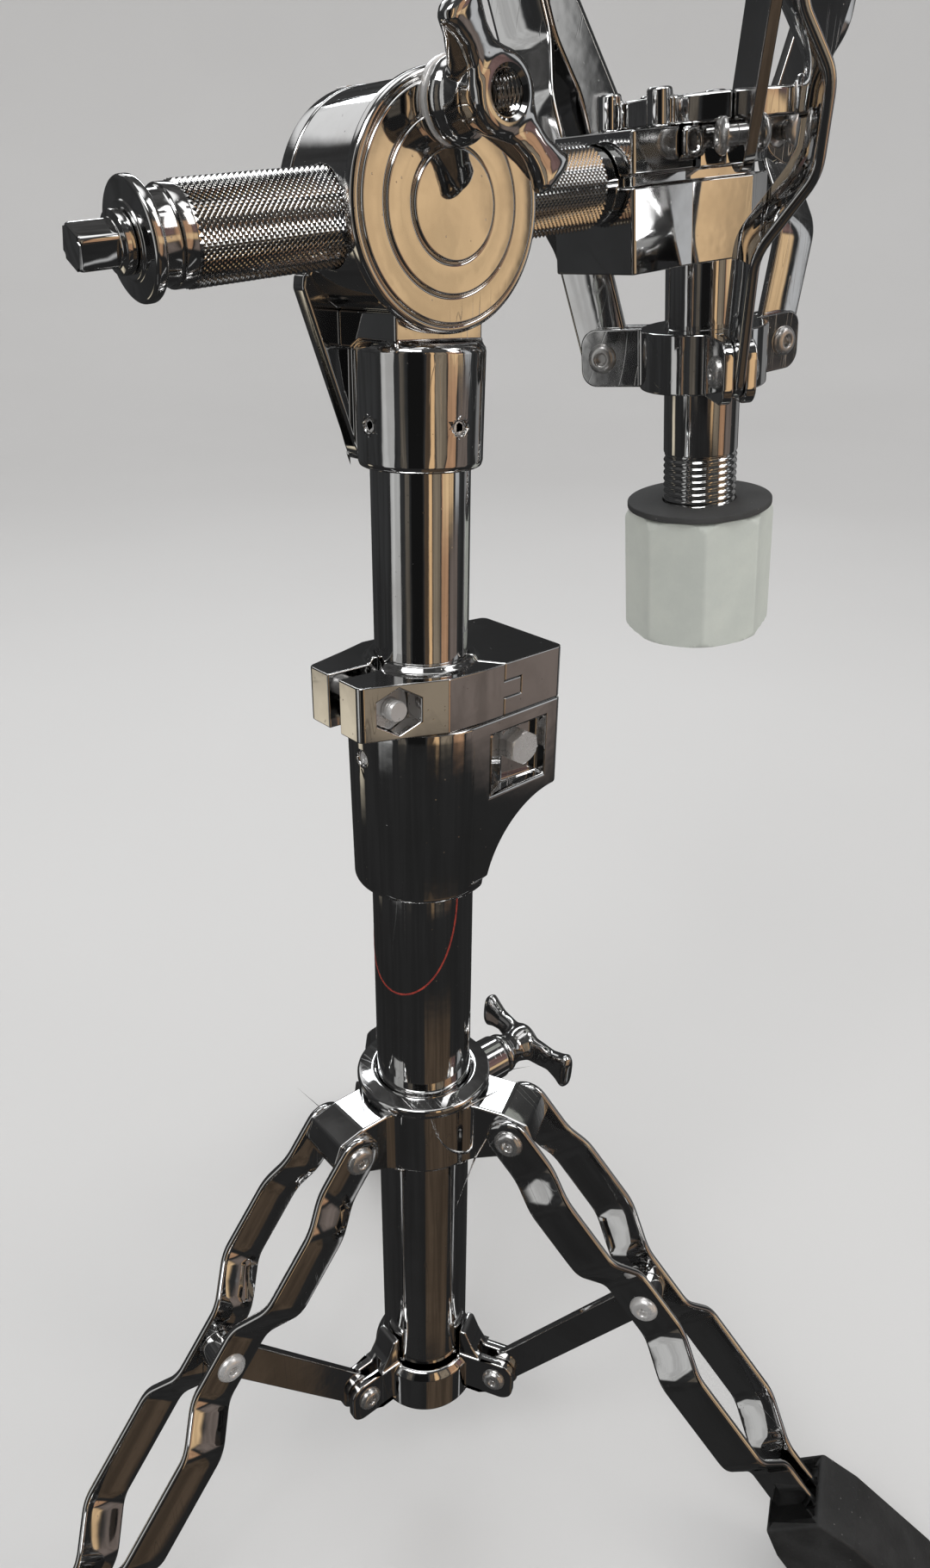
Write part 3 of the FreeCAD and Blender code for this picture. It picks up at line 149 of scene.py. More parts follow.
# ---------------------------------------------------------------- materials
class Nodes:
    """Short calls for building one node tree."""

    def __init__(self, tree):
        self.tree = tree
        tree.nodes.clear()

    def add(self, kind, **inputs):
        node = self.tree.nodes.new(kind)
        for key, value in inputs.items():
            if hasattr(node, key):
                setattr(node, key, value)
            else:
                self.feed(node.inputs[key.replace("_", " ")], value)
        return node

    def feed(self, socket, value):
        if isinstance(value, bpy.types.NodeSocket):
            self.tree.links.new(value, socket)
        else:
            socket.default_value = value

    def maths(self, operation, first, second=0.0, third=0.0):
        node = self.tree.nodes.new("ShaderNodeMath")
        node.operation = operation
        for socket, value in zip(node.inputs, (first, second, third)):
            self.feed(socket, value)
        return node.outputs[0]

    def ramp(self, value, low, high, start=0.0, end=1.0):
        """Maps value from low..high to start..end smoothly, clamped."""
        node = self.tree.nodes.new("ShaderNodeMapRange")
        node.interpolation_type = "SMOOTHSTEP"
        for name, amount in zip(("Value", "From Min", "From Max", "To Min", "To Max"),
                                (value, low, high, start, end)):
            self.feed(node.inputs[name], amount)
        return node.outputs[0]

    def mix(self, factor, first, second):
        node = self.tree.nodes.new("ShaderNodeMix")
        node.data_type = "RGBA"
        self.feed(node.inputs[0], factor)
        self.feed(node.inputs[6], first)
        self.feed(node.inputs[7], second)
        return node.outputs[2]

    def noise(self, where, scale, detail=2.0, rough=0.5, stretch=None, spin=(0, 0, 0)):
        if stretch:
            mapping = self.add("ShaderNodeMapping", Vector=where, Scale=stretch, Rotation=spin)
            where = mapping.outputs[0]
        texture = self.add("ShaderNodeTexNoise", Vector=where, Scale=scale, Detail=detail, Roughness=rough)
        return texture.outputs[0]

    def bump(self, height, strength, distance):
        node = self.add("ShaderNodeBump", Height=height, Strength=strength, Distance=distance)
        return node.outputs[0]


def grey(level, warm=0.0):
    """A near-grey colour; warm above 0 leans to yellow, below 0 to blue."""
    return (level * (1 + warm), level, level * (1 - warm), 1.0)


def new_material(name):
    """A material with its principled shader, node helper and object coordinates in metres."""
    material = bpy.data.materials.new(name)
    material.use_nodes = True
    nodes = Nodes(material.node_tree)
    shader = nodes.add("ShaderNodeBsdfPrincipled")
    output = nodes.add("ShaderNodeOutputMaterial", Surface=shader.outputs[0])
    output.is_active_output = True
    where = nodes.add("ShaderNodeTexCoord").outputs["Object"]
    return material, nodes, shader, where


def scratches(nodes, where, scale, thin, spin):
    """Sparse hairline marks: a stretched noise cut to a thin band."""
    lines = nodes.noise(where, scale, 1.0, 0.4, (1.0, 0.03, 0.06), spin)
    near = nodes.maths("ABSOLUTE", nodes.maths("SUBTRACT", lines, 0.5))
    return nodes.ramp(near, 0.0, thin, 1.0, 0.0)


def specks(nodes, where, scale, size, share):
    """Scattered dots: small cells of a Voronoi pattern, only in a share of the cells."""
    cells = nodes.add("ShaderNodeTexVoronoi", Vector=where, Scale=scale)
    dot = nodes.ramp(cells.outputs["Distance"], size * 0.5, size, 1.0, 0.0)
    pick = nodes.add("ShaderNodeSeparateColor", Color=cells.outputs["Color"]).outputs[0]
    return nodes.maths("MULTIPLY", dot, nodes.maths("LESS_THAN", pick, share))


def plated(name, level, rough, haze, warm=0.0, grain=0.0, metal=1.0):
    """Bright plating with haze, hairline scratches, fine pits and dust."""
    material, nodes, shader, where = new_material(name)
    cloud = nodes.noise(where, 45.0, 4.0, 0.62)
    smudge = nodes.ramp(cloud, 0.42, 0.72)
    fine = nodes.noise(where, 900.0, 3.0, 0.6)
    marks = nodes.maths("MAXIMUM", scratches(nodes, where, 260.0, 0.006, (0.3, 0.2, 0.9)),
                        scratches(nodes, where, 180.0, 0.005, (1.1, 0.5, 0.2)))
    patches = nodes.ramp(nodes.noise(where, 30.0, 1.0), 0.5, 0.62)
    marks = nodes.maths("MULTIPLY", marks, patches)
    dust = specks(nodes, where, 420.0, 0.13, 0.10)
    pits = specks(nodes, where, 700.0, 0.16, 0.06)
    base = nodes.mix(smudge, grey(level, warm), grey(level * 0.90, warm + 0.012))
    base = nodes.mix(nodes.maths("MULTIPLY", marks, 0.5), base, grey(level * 0.75))
    base = nodes.mix(nodes.maths("MULTIPLY", dust, 0.35), base, grey(0.62, 0.02))
    dull = nodes.maths("MULTIPLY_ADD", smudge, haze, rough)
    dull = nodes.maths("MULTIPLY_ADD", marks, 0.16, dull)
    dull = nodes.maths("MULTIPLY_ADD", fine, grain, dull)
    dull = nodes.maths("MULTIPLY_ADD", dust, 0.22, dull)
    lumps = nodes.maths("MULTIPLY_ADD", nodes.noise(where, 130.0, 2.0), 0.5,
                        nodes.maths("MULTIPLY", fine, 0.02 + grain))
    height = nodes.maths("MULTIPLY_ADD", marks, -0.10, lumps)
    height = nodes.maths("MULTIPLY_ADD", pits, -0.25, height)
    nodes.feed(shader.inputs["Base Color"], base)
    nodes.feed(shader.inputs["Roughness"], dull)
    nodes.feed(shader.inputs["Normal"], nodes.bump(height, 0.16, 0.00035))
    shader.inputs["Metallic"].default_value = metal
    return material


def moulded(name, colour, tint, rough, grain_scale, grain_depth, dirt=0.25):
    """Moulded plastic or rubber: blotchy colour, fine skin texture, dust in the hollows."""
    material, nodes, shader, where = new_material(name)
    cloud = nodes.noise(where, 55.0, 4.0, 0.6)
    skin = nodes.noise(where, grain_scale, 4.0, 0.65)
    pores = nodes.add("ShaderNodeTexVoronoi", Vector=where, Scale=grain_scale * 0.8).outputs["Distance"]
    dust = specks(nodes, where, 520.0, 0.15, 0.10)
    base = nodes.mix(nodes.ramp(cloud, 0.35, 0.7), colour, tint)
    base = nodes.mix(nodes.maths("MULTIPLY", skin, 0.18), base, tuple(c * 0.7 for c in colour[:3]) + (1.0,))
    base = nodes.mix(nodes.maths("MULTIPLY", dust, dirt), base, grey(0.45, 0.04))
    dull = nodes.maths("MULTIPLY_ADD", nodes.ramp(cloud, 0.3, 0.7), 0.14, rough)
    dull = nodes.maths("MULTIPLY_ADD", skin, 0.10, dull)
    height = nodes.maths("MULTIPLY_ADD", pores, 0.5, skin)
    nodes.feed(shader.inputs["Base Color"], base)
    nodes.feed(shader.inputs["Roughness"], dull)
    nodes.feed(shader.inputs["Normal"], nodes.bump(height, 0.35, grain_depth))
    shader.inputs["Specular IOR Level"].default_value = 0.4
    return material


def printed_red():
    """Thin red ink of the oval line, a little uneven."""
    material, nodes, shader, where = new_material("red_ink")
    cloud = nodes.noise(where, 400.0, 3.0, 0.6)
    base = nodes.mix(nodes.ramp(cloud, 0.35, 0.65), (0.42, 0.045, 0.025, 1), (0.26, 0.025, 0.018, 1))
    nodes.feed(shader.inputs["Base Color"], base)
    nodes.feed(shader.inputs["Roughness"], nodes.maths("MULTIPLY_ADD", cloud, 0.2, 0.35))
    nodes.feed(shader.inputs["Normal"], nodes.bump(cloud, 0.1, 0.0001))
    return material


FINISH = {
    "chrome": plated("polished_chrome", 0.66, 0.035, 0.07),
    "zinc": plated("bright_zinc", 0.72, 0.22, 0.12, 0.01, 0.10, 0.55),
    "black_rubber": moulded("dark_rubber", grey(0.020), grey(0.035), 0.52, 900.0, 0.0003),
    "nylon": moulded("natural_nylon", grey(0.56, 0.06), grey(0.50, 0.06), 0.38, 700.0, 0.0001),
    "knob_plastic": moulded("knob_plastic", (0.69, 0.72, 0.66, 1), (0.63, 0.66, 0.61, 1), 0.40,
                            1300.0, 0.00008, 0.12),
    "washer_fibre": moulded("washer_fibre", grey(0.050), grey(0.075), 0.60, 1500.0, 0.00015),
}
RIVET_STEEL = plated("tumbled_steel", 0.64, 0.17, 0.14, 0.01, 0.10, 0.9)
RED_INK = printed_red()


# ---------------------------------------------------------------- mesh helpers
REPLACED = set()


def polar(radius, turns, height):
    """The point at a radius and a share of a whole turn round Z."""
    angle = 2 * math.pi * turns
    return (radius * math.cos(angle), radius * math.sin(angle), height)


def circle(shape, radius, height, steps):
    """A ring of new vertices round Z."""
    return [shape.verts.new(polar(radius, index / steps, height)) for index in range(steps)]


def rounded(points, radius, steps=4, closed=False):
    """The polyline with its corners turned into short curves."""
    count = len(points)
    result = []
    for index, point in enumerate(points):
        if not closed and index in (0, count - 1):
            result.append(tuple(point))
            continue
        corner = Vector(point)
        before = Vector(points[index - 1]) - corner
        after = Vector(points[(index + 1) % count]) - corner
        first = corner + before.normalized() * min(radius, before.length * 0.45)
        last = corner + after.normalized() * min(radius, after.length * 0.45)
        for step in range(steps + 1):
            t = step / steps
            result.append(tuple(first * (1 - t) ** 2 + corner * (2 * t * (1 - t)) + last * t ** 2))
    return result


def skin_rings(shape, rings, closed_rings=True, cap_ends=True, loop=False):
    """Faces between rings of vertices, with the two ends capped or joined to each other."""
    pairs = list(zip(rings, rings[1:]))
    if loop:
        pairs.append((rings[-1], rings[0]))
    for low, high in pairs:
        count = len(low)
        for index in range(count if closed_rings else count - 1):
            following = (index + 1) % count
            corners = []
            for vertex in (low[index], low[following], high[following], high[index]):
                if vertex not in corners:
                    corners.append(vertex)
            if len(corners) > 2:
                shape.faces.new(corners)
    if cap_ends and not loop:
        for end in (rings[0], rings[-1]):
            if len(set(end)) > 2:
                shape.faces.new(end)
    return shape


def lathe(profile, steps=72, ring=False):
    """A shape turned about Z from (radius, height) points; ring closes the profile on itself."""
    shape = bmesh.new()
    columns = []
    poles = {}
    for index in range(steps):
        column = []
        for number, (radius, height) in enumerate(profile):
            if radius < 1e-6:
                if number not in poles:
                    poles[number] = shape.verts.new((0, 0, height))
                column.append(poles[number])
            else:
                column.append(shape.verts.new(polar(radius, index / steps, height)))
        columns.append(column)
    return skin_rings(shape, columns, closed_rings=ring, loop=True)


def prism(points, low, high):
    """A straight solid over an outline in the XY plane."""
    shape = bmesh.new()
    rings = [[shape.verts.new((x, y, z)) for x, y in points] for z in (low, high)]
    return skin_rings(shape, rings)


def polar_solid(radius_at, rows, steps):
    """A solid whose outline is radius_at(angle), held inside a limit radius at each height."""
    shape = bmesh.new()
    rings = []
    for height, limit in rows:
        ring = []
        for index in range(steps):
            turns = index / steps
            radius = min(radius_at(2 * math.pi * turns), limit)
            ring.append(shape.verts.new(polar(radius, turns, height)))
        rings.append(ring)
    return skin_rings(shape, rings)


def hexagon(across, height, hole=0.0):
    """A hex head or nut from z = 0 up, its corners turned off a little at the free end."""
    flat = across / 2.0
    chamfer = 0.5

    def outline(angle):
        return flat / math.cos((angle + math.pi / 6) % (math.pi / 3) - math.pi / 6)

    corner = flat / math.cos(math.pi / 6)
    rows = [(0.0, corner), (height - chamfer, corner), (height - chamfer * 0.4, corner - 0.3),
            (height, flat)]
    shape = polar_solid(outline, rows, 48)
    if hole:
        cap = max(shape.faces, key=lambda face: face.calc_center_median().z)
        bmesh.ops.inset_region(shape, faces=[cap], thickness=flat - hole)
        for vertex in cap.verts:
            angle = math.atan2(vertex.co.y, vertex.co.x)
            vertex.co.x = hole * math.cos(angle)
            vertex.co.y = hole * math.sin(angle)
        moved = bmesh.ops.extrude_face_region(shape, geom=[cap])
        for item in moved["geom"]:
            if isinstance(item, bmesh.types.BMVert):
                item.co.z -= height * 0.6
        bmesh.ops.delete(shape, geom=[cap], context="FACES")
    return shape


def helix_rings(shape, radius_at, pitch, low, high, steps):
    """Rings of vertices round Z; radius_at takes a helical wave from 0 to 1 and the height."""
    rows = int((high - low) / pitch * 6)
    rings = []
    for row in range(rows + 1):
        z = low + (high - low) * row / rows
        ring = []
        for index in range(steps):
            turns = index / steps
            wave = abs(((z / pitch - turns) % 1.0) * 2.0 - 1.0)
            ring.append(shape.verts.new(polar(radius_at(wave, z), turns, z)))
        rings.append(ring)
    return rings


def thread(radius, depth, pitch, low, high, steps, core=0.0):
    """A threaded rod: a helical ridge surface with closed ends, or a ring round a core hole."""
    shape = bmesh.new()

    def radius_at(wave, z):
        fade = min(1.0, (z - low) / pitch + 0.2, (high - z) / pitch + 0.2)
        return radius - depth + depth * min(1.0, wave * 1.25) * fade

    rings = helix_rings(shape, radius_at, pitch, low, high, steps)
    if core:
        rings += [circle(shape, core, z, steps) for z in (high, low)]
    return skin_rings(shape, rings, loop=bool(core))


def bore_thread(outer, depth, pitch, low, high):
    """The thread seen inside a nut: ridges on a thin sleeve's inner wall."""
    shape = bmesh.new()
    steps = 48
    wall = 0.15
    rings = helix_rings(shape, lambda wave, z: outer - depth * wave, pitch, low, high, steps)
    rings += [circle(shape, outer + wall, z, steps) for z in (high, low)]
    return skin_rings(shape, rings, loop=True)


def strap(path, width, thickness, end_radius, bend):
    """A bent strip with rounded ends and edges; path is (offset along Y, height along Z)."""
    spine = rounded(path, bend, 6)
    longest_step = 3.0
    end_steps = 8
    fine = [Vector(spine[0])]
    for point in spine[1:]:
        gap = Vector(point) - fine[-1]
        parts = max(1, int(gap.length / longest_step))
        start = fine[-1].copy()
        fine.extend(start + gap * ((part + 1) / parts) for part in range(parts))
    length = sum((b - a).length for a, b in zip(fine, fine[1:]))
    end = [end_radius * (1 - math.cos(math.radians(90 * step / end_steps))) for step in range(end_steps + 1)]
    stations = list(end)
    travelled = 0.0
    for a, b in zip(fine, fine[1:]):
        travelled += (b - a).length
        if end_radius < travelled < length - end_radius:
            stations.append(travelled)
    stations.extend(length - s for s in reversed(end))
    shape = bmesh.new()
    rings = []
    edge = min(0.42 * thickness, 1.0)
    for station in stations:
        point, tangent = along(fine, station)
        normal = Vector((tangent.y, -tangent.x))
        inset = min(station, length - station)
        half = width / 2.0
        if inset < end_radius:
            half = half - end_radius + math.sqrt(max(0.0, end_radius ** 2 - (end_radius - inset) ** 2))
        half = max(half, edge + 0.05)
        ring = []
        for cx, cn, first in ((1, 1, 0), (-1, 1, 90), (-1, -1, 180), (1, -1, 270)):
            for step in range(4):
                angle = math.radians(first + 30 * step)
                x = cx * (half - edge) + edge * math.cos(angle)
                n = cn * (thickness / 2.0 - edge) + edge * math.sin(angle)
                ring.append(shape.verts.new((x, point.x + normal.x * n, point.y + normal.y * n)))
        rings.append(ring)
    return skin_rings(shape, rings)


def along(points, distance):
    """The point and direction a distance along a polyline."""
    left = distance
    for a, b in zip(points, points[1:]):
        step = (b - a).length
        if left <= step or b is points[-1]:
            return a + (b - a) * min(1.0, left / max(step, 1e-9)), (b - a).normalized()
        left -= step


def edge_key(first, second):
    """The same short name for an edge, whichever way round its ends are given."""
    ends = [tuple(round(value / MM, 2) for value in end) for end in (first, second)]
    return tuple(sorted(ends))


def creases_of(mesh):
    """Edges where the surfaces of two CAD faces meet at an angle, told from their own normals."""
    seen = {}
    creases = set()
    for polygon in mesh.polygons:
        loops = list(polygon.loop_indices)
        for here, after in zip(loops, loops[1:] + loops[:1]):
            ends = [mesh.vertices[mesh.loops[loop].vertex_index].co for loop in (here, after)]
            normals = [mesh.corner_normals[loop].vector.copy() for loop in (here, after)]
            key = edge_key(*ends)
            if key[0] != edge_key(ends[0], ends[0])[0]:
                normals.reverse()
            other = seen.get(key)
            if other is None:
                seen[key] = normals
            elif max(a.angle(b, 0.0) for a, b in zip(normals, other)) > math.radians(3.0):
                creases.add(key)
    return creases


def cad_shape(node):
    """A welded copy of a CAD node in metres; the creases between its faces are marked not smooth."""
    mesh = frame["nodes"][node].data
    creases = creases_of(mesh)
    shape = bmesh.new()
    shape.from_mesh(mesh)
    bmesh.ops.remove_doubles(shape, verts=shape.verts, dist=1e-6)
    for edge in shape.edges:
        edge.smooth = edge_key(edge.verts[0].co, edge.verts[1].co) not in creases
    bmesh.ops.dissolve_limit(shape, angle_limit=math.radians(0.4), verts=shape.verts, edges=shape.edges,
                             delimit={"SHARP"})
    return shape


def joined(*shapes):
    """Several shapes as one; each later one may come as (shape, place)."""
    first = shapes[0]
    for item in shapes[1:]:
        other, place = item if isinstance(item, tuple) else (item, HERE)
        other.transform(place)
        scratch = bpy.data.meshes.new("scratch")
        other.to_mesh(scratch)
        other.free()
        first.from_mesh(scratch)
        bpy.data.meshes.remove(scratch)
    return first


def new_object(name, shape, finish):
    mesh = bpy.data.meshes.new(name)
    shape.to_mesh(mesh)
    shape.free()
    mesh.materials.append(finish)
    mesh.polygons.foreach_set("use_smooth", [True] * len(mesh.polygons))
    piece = bpy.data.objects.new(name, mesh)
    bpy.context.scene.collection.objects.link(piece)
    return piece


def add_piece(name, shape, place, slot, body, nodes=(), sharp=32.0, finish=None):
    """A piece from a shape in millimetres, riding on a body and standing for CAD nodes."""
    bmesh.ops.recalc_face_normals(shape, faces=shape.faces)
    shape.transform(Matrix.Scale(MM, 4) @ place)
    piece = new_object(name, shape, finish or FINISH[slot])
    if sharp:
        piece.data.set_sharp_from_angle(angle=math.radians(sharp))
    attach(piece, body)
    if nodes:
        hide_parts(*nodes)
        REPLACED.update(nodes)
    return piece


def add_casting(node, width, slot):
    """A CAD node's shape with every true edge rounded, in its finish."""
    least_angle = math.radians(9.0)
    shape = cad_shape(node)
    weights = shape.edges.layers.float.new("bevel_weight_edge")
    for edge in shape.edges:
        corner = not edge.smooth and edge.calc_face_angle(0.0) > least_angle
        edge[weights] = 1.0 if corner else 0.0
        if corner:
            edge.smooth = True
    piece = new_object(node + "_skin", shape, FINISH[slot])
    bevel = piece.modifiers.new("round_edges", "BEVEL")
    bevel.width = width * MM
    bevel.segments = 3
    bevel.limit_method = "WEIGHT"
    bevel.use_clamp_overlap = False
    weigh = piece.modifiers.new("flat_faces", "WEIGHTED_NORMAL")
    weigh.keep_sharp = True
    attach(piece, frame["nodes"][node]["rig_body"])
    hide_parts(node)
    return piece


def discard(thing):
    """Deletes a helper object and its mesh."""
    mesh = thing.data
    bpy.data.objects.remove(thing)
    bpy.data.meshes.remove(mesh)


def unwrapped(piece):
    """A helper object's shape with its modifiers applied; the object is deleted."""
    graph = bpy.context.evaluated_depsgraph_get()
    mesh = bpy.data.meshes.new_from_object(piece.evaluated_get(graph))
    shape = bmesh.new()
    shape.from_mesh(mesh)
    bpy.data.meshes.remove(mesh)
    discard(piece)
    return shape


# ---------------------------------------------------------------- tubes
def add_tube(name, size, body):
    """A plain tube on the stand's axis."""
    inner = size["radius"] - size["wall"]
    profile = rounded([(inner, size["low"]), (size["radius"], size["low"]),
                       (size["radius"], size["high"]), (inner, size["high"])], 0.5, 3, closed=True)
    add_piece(name + "_skin", lathe(profile, 128, ring=True), HERE, "chrome", body, [name])


def add_oval_line():
    """The plain red oval line on the lower tube, its upper half hidden in the clamp."""
    centre_turn = -160.0
    half_wide = 19.4
    half_high = 34.0
    half_line = 0.28
    ink = 0.05
    middle = CLAMP_BOTTOM - 1.0
    radius = LOWER_TUBE["radius"] + 0.02
    steps = 96
    shape = bmesh.new()
    rings = []
    for step in range(steps + 1):
        t = math.pi + math.pi * step / steps
        ring = []
        for out, reach in ((0.0, -half_line), (ink, -half_line), (ink, half_line), (0.0, half_line)):
            across = (half_wide + reach) * math.cos(t) / radius
            angle = math.radians(centre_turn) + across
            height = middle + (half_high + reach) * math.sin(t)
            ring.append(shape.verts.new(polar(radius + out, angle / (2 * math.pi), height)))
        rings.append(ring)
    add_piece("tube_oval_line", skin_rings(shape, rings), HERE, "chrome", "base", finish=RED_INK)


# ---------------------------------------------------------------- rivets, nuts and screws
def rivet_head(radius, height, dimple):
    """A domed rivet head from z = 0 up, with a rolled hollow of the dimple's radius."""
    outline = [(radius, -0.2), (radius, height * 0.30), (radius * 0.80, height * 0.85),
               (dimple * 1.35, height), (dimple, height * 0.75), (dimple * 0.9, -0.1), (0, -0.1)]
    return lathe(rounded(outline, 0.5, 3), 40)


def add_rivet_row(node, body, place, turns_list, pivot, half, head, dimple):
    """A pair of rivet heads and a shank at each pivot (radius, height) round an axis."""
    whole = bmesh.new()
    rise = 1.9
    shank = 2.4
    for turns in turns_list:
        where = turn("Z", turns) @ shift(pivot[0], 0, pivot[1])
        whole = joined(whole, (rivet_head(head, rise, dimple), where @ shift(0, half, 0) @ FACING["+Y"]),
                       (rivet_head(head, rise, dimple), where @ shift(0, -half, 0) @ FACING["-Y"]),
                       (lathe([(0, -half), (shank, -half), (shank, half), (0, half)], 32),
                        where @ FACING["+Y"]))
    add_piece(node + "_skin", whole, place, "zinc", body, [node], finish=RIVET_STEEL)


def add_small_hardware():
    """Clamp bolt, lock nut and bolt, and the rivets of the pivots."""
    x, z = EAR_BOLT
    bolt_length = 42.9
    add_piece("tube_clamp_bolt_head", hexagon(9.2, 2.8), shift(x, EAR_HEAD_SEAT, z) @ FACING["-Y"],
              "zinc", "base", ["tube_clamp_bolt"], sharp=12)
    rod = thread(2.98, 0.35, 1.0, -0.5, bolt_length, 40)
    add_piece("tube_clamp_bolt_rod", rod, shift(x, EAR_HEAD_SEAT, z) @ FACING["+Y"], "zinc", "base")

    x, z = LOCK_BOLT
    nut = hexagon(10.8, 3.6, hole=2.95)
    add_piece("memory_lock_nut_skin", nut, shift(x, LOCK_NUT_SEAT, z) @ FACING["-Y"], "zinc",
              "memory_lock", ["memory_lock_nut"], sharp=12)
    rod = thread(2.88, 0.4, 1.0, 0.0, LOCK_BOLT_LENGTH, 40)
    socket = [(0, 0), (4.8, 0), (4.8, 2.6), (4.0, 3.4), (2.2, 3.4), (2.2, 1.6), (0, 1.6)]
    bolt = joined(rod, (lathe(rounded(socket, 0.4), 48), shift(0, 0, LOCK_BOLT_LENGTH)))
    add_piece("memory_lock_bolt_skin", bolt, shift(x, LOCK_BOLT_START, z) @ FACING["+Y"], "zinc",
              "memory_lock", ["memory_lock_bolt"])

    add_rivet_row("collar_rivets", "collar", HERE, LEG_TURNS, COLLAR_PIVOT, 10.78, 4.6, 1.5)
    add_rivet_row("spider_rivets", "base", HERE, LEG_TURNS, SPIDER_PIVOT, 4.85, 4.2, 1.3)
    for node, body, height in (("upper_hub_rivets", "basket", UPPER_HUB),
                               ("lower_hub_rivets", "sliding_hub", LOWER_HUB)):
        add_rivet_row(node, body, on_basket(height), BASKET_TURNS, (HUB_PIVOT, 0), 4.82, 4.4, 1.6)


# ---------------------------------------------------------------- wing nuts
def wing_loft(reach, stations):
    """One wing: rounded sections (distance, near, far, half thickness) along X; depth along -Z."""
    steps = 20
    shape = bmesh.new()
    rings = []
    for share, near, far, half in stations:
        middle = (near + far) / 2.0
        deep = abs(far - near) / 2.0
        ring = []
        for step in range(steps):
            angle = 2 * math.pi * step / steps
            c, s = math.cos(angle), math.sin(angle)
            y = half * math.copysign(abs(c) ** 0.75, c)
            z = middle + deep * math.copysign(abs(s) ** 0.6, s)
            ring.append(shape.verts.new((share * reach, y, z)))
        rings.append(ring)
    return skin_rings(shape, rings)


def melted(shape, voxel, smooth):
    """The overlapping solids of a shape run together into one smooth skin, in millimetres."""
    bmesh.ops.recalc_face_normals(shape, faces=shape.faces)
    piece = new_object("melting", shape, FINISH["chrome"])
    remesh = piece.modifiers.new("fuse", "REMESH")
    remesh.mode = "VOXEL"
    remesh.voxel_size = voxel
    soft = piece.modifiers.new("soft", "SMOOTH")
    soft.factor = 0.5
    soft.iterations = smooth
    return unwrapped(piece)


def wing_head(span, depth, boss, collar, rib, bore=0.0, shank=0.0, webbed=True):
    """A cast wing nut head: boss along +Z from 0 to depth, ribbed wings along X near its free end.

    rib is half the width of a wing's outer ribbon at its waist; the bore is open above the shank.
    """
    half = span / 2.0
    outline = [(0, 0), (collar, 0), (collar, 2.2), (collar * 0.84, 3.6), (boss * 0.80, depth * 0.45),
               (boss, depth - 3.4), (boss, depth - 1.2), (boss - 1.2, depth), (0, depth)]
    parts = [lathe(rounded(outline, 1.0), 48)]
    ribbon = [
        (0.00, depth - 5.0, depth - 0.2, boss * 0.94),
        (0.26, depth - 4.6, depth - 0.3, boss * 0.76),
        (0.42, depth - 3.8, depth + 0.1, rib * 1.15),
        (0.60, depth - 3.3, depth + 0.9, rib),
        (0.78, depth - 3.2, depth + 1.6, rib * 1.30),
        (0.90, depth - 3.4, depth + 1.9, rib * 1.65),
        (0.97, depth - 3.2, depth + 1.4, rib * 1.45),
        (1.00, depth - 2.4, depth + 0.4, rib * 0.95),
    ]
    web = [
        (0.00, depth * 0.10, depth - 2.0, rib * 1.1),
        (0.30, depth * 0.18, depth - 2.0, rib * 0.85),
        (0.50, depth * 0.36, depth - 1.6, rib * 0.72),
        (0.70, depth * 0.52, depth - 1.0, rib * 0.70),
        (0.88, depth * 0.62, depth, rib * 0.85),
        (0.96, depth * 0.72, depth, rib * 0.70),
    ]
    for side in (0, 180):
        for stations in (ribbon, web) if webbed else (ribbon,):
            parts.append((wing_loft(half, stations), turn("Z", side)))
    head = melted(joined(*parts), 0.5, 6)
    if not bore:
        return head
    piece = new_object("wings_cut", head, FINISH["chrome"])
    floor = depth * 0.5
    drill = lathe([(0, -5), (shank, -5), (shank, floor), (bore, floor), (bore, depth - 0.8),
                   (bore + 0.8, depth + 0.05), (bore + 0.8, depth + 6), (0, depth + 6)], 64)
    bmesh.ops.recalc_face_normals(drill, faces=drill.faces)
    cutter = new_object("wings_bore", drill, FINISH["chrome"])
    hole = piece.modifiers.new("bore", "BOOLEAN")
    hole.operation = "DIFFERENCE"
    hole.object = cutter
    result = unwrapped(piece)
    discard(cutter)
    return result


def add_wing_nuts():
    """Tilter wing nut, clamp wing nut and the collar's wing screw."""
    washer_front = DISC_BACK - 5.1
    place = shift(0, washer_front, TILTER_HEIGHT + TILT_BOLT_HEIGHT) @ turn("Y", 46) @ FACING["-Y"]
    head = wing_head(41.0, 17.0, 8.0, 8.6, 3.3, 4.4, 3.6)
    nut = joined(head, bore_thread(4.5, 0.55, 1.25, 8.6, 15.9))
    add_piece("tilter_wing_nut_skin", nut, place, "chrome", "tilt_wing", ["tilter_wing_nut"], sharp=38)

    x, z = EAR_BOLT
    place = shift(x, EAR_NUT_SEAT, z) @ FACING["+Y"]
    head = wing_head(46.0, 20.0, 7.4, 8.2, 3.0, 3.8, 3.1)
    nut = joined(head, bore_thread(3.85, 0.4, 1.0, 10.2, 19.0))
    add_piece("clamp_wing_nut_skin", nut, place, "chrome", "clamp_wing", ["clamp_wing_nut"], sharp=38)

    place = shift(0, 0, COLLAR_PIVOT[1]) @ turn("X", 4) @ shift(32.6, 0, 0) @ turn("X", 90) @ FACING["+X"]
    rod = thread(2.9, 0.4, 1.25, -17.0, 0.5, 40)
    head = wing_head(43.0, 14.5, 6.6, 7.0, 4.2, webbed=False)
    add_piece("collar_wing_screw_skin", joined(head, rod), place, "chrome", "collar_screw",
              ["collar_wing_screw"], sharp=38)


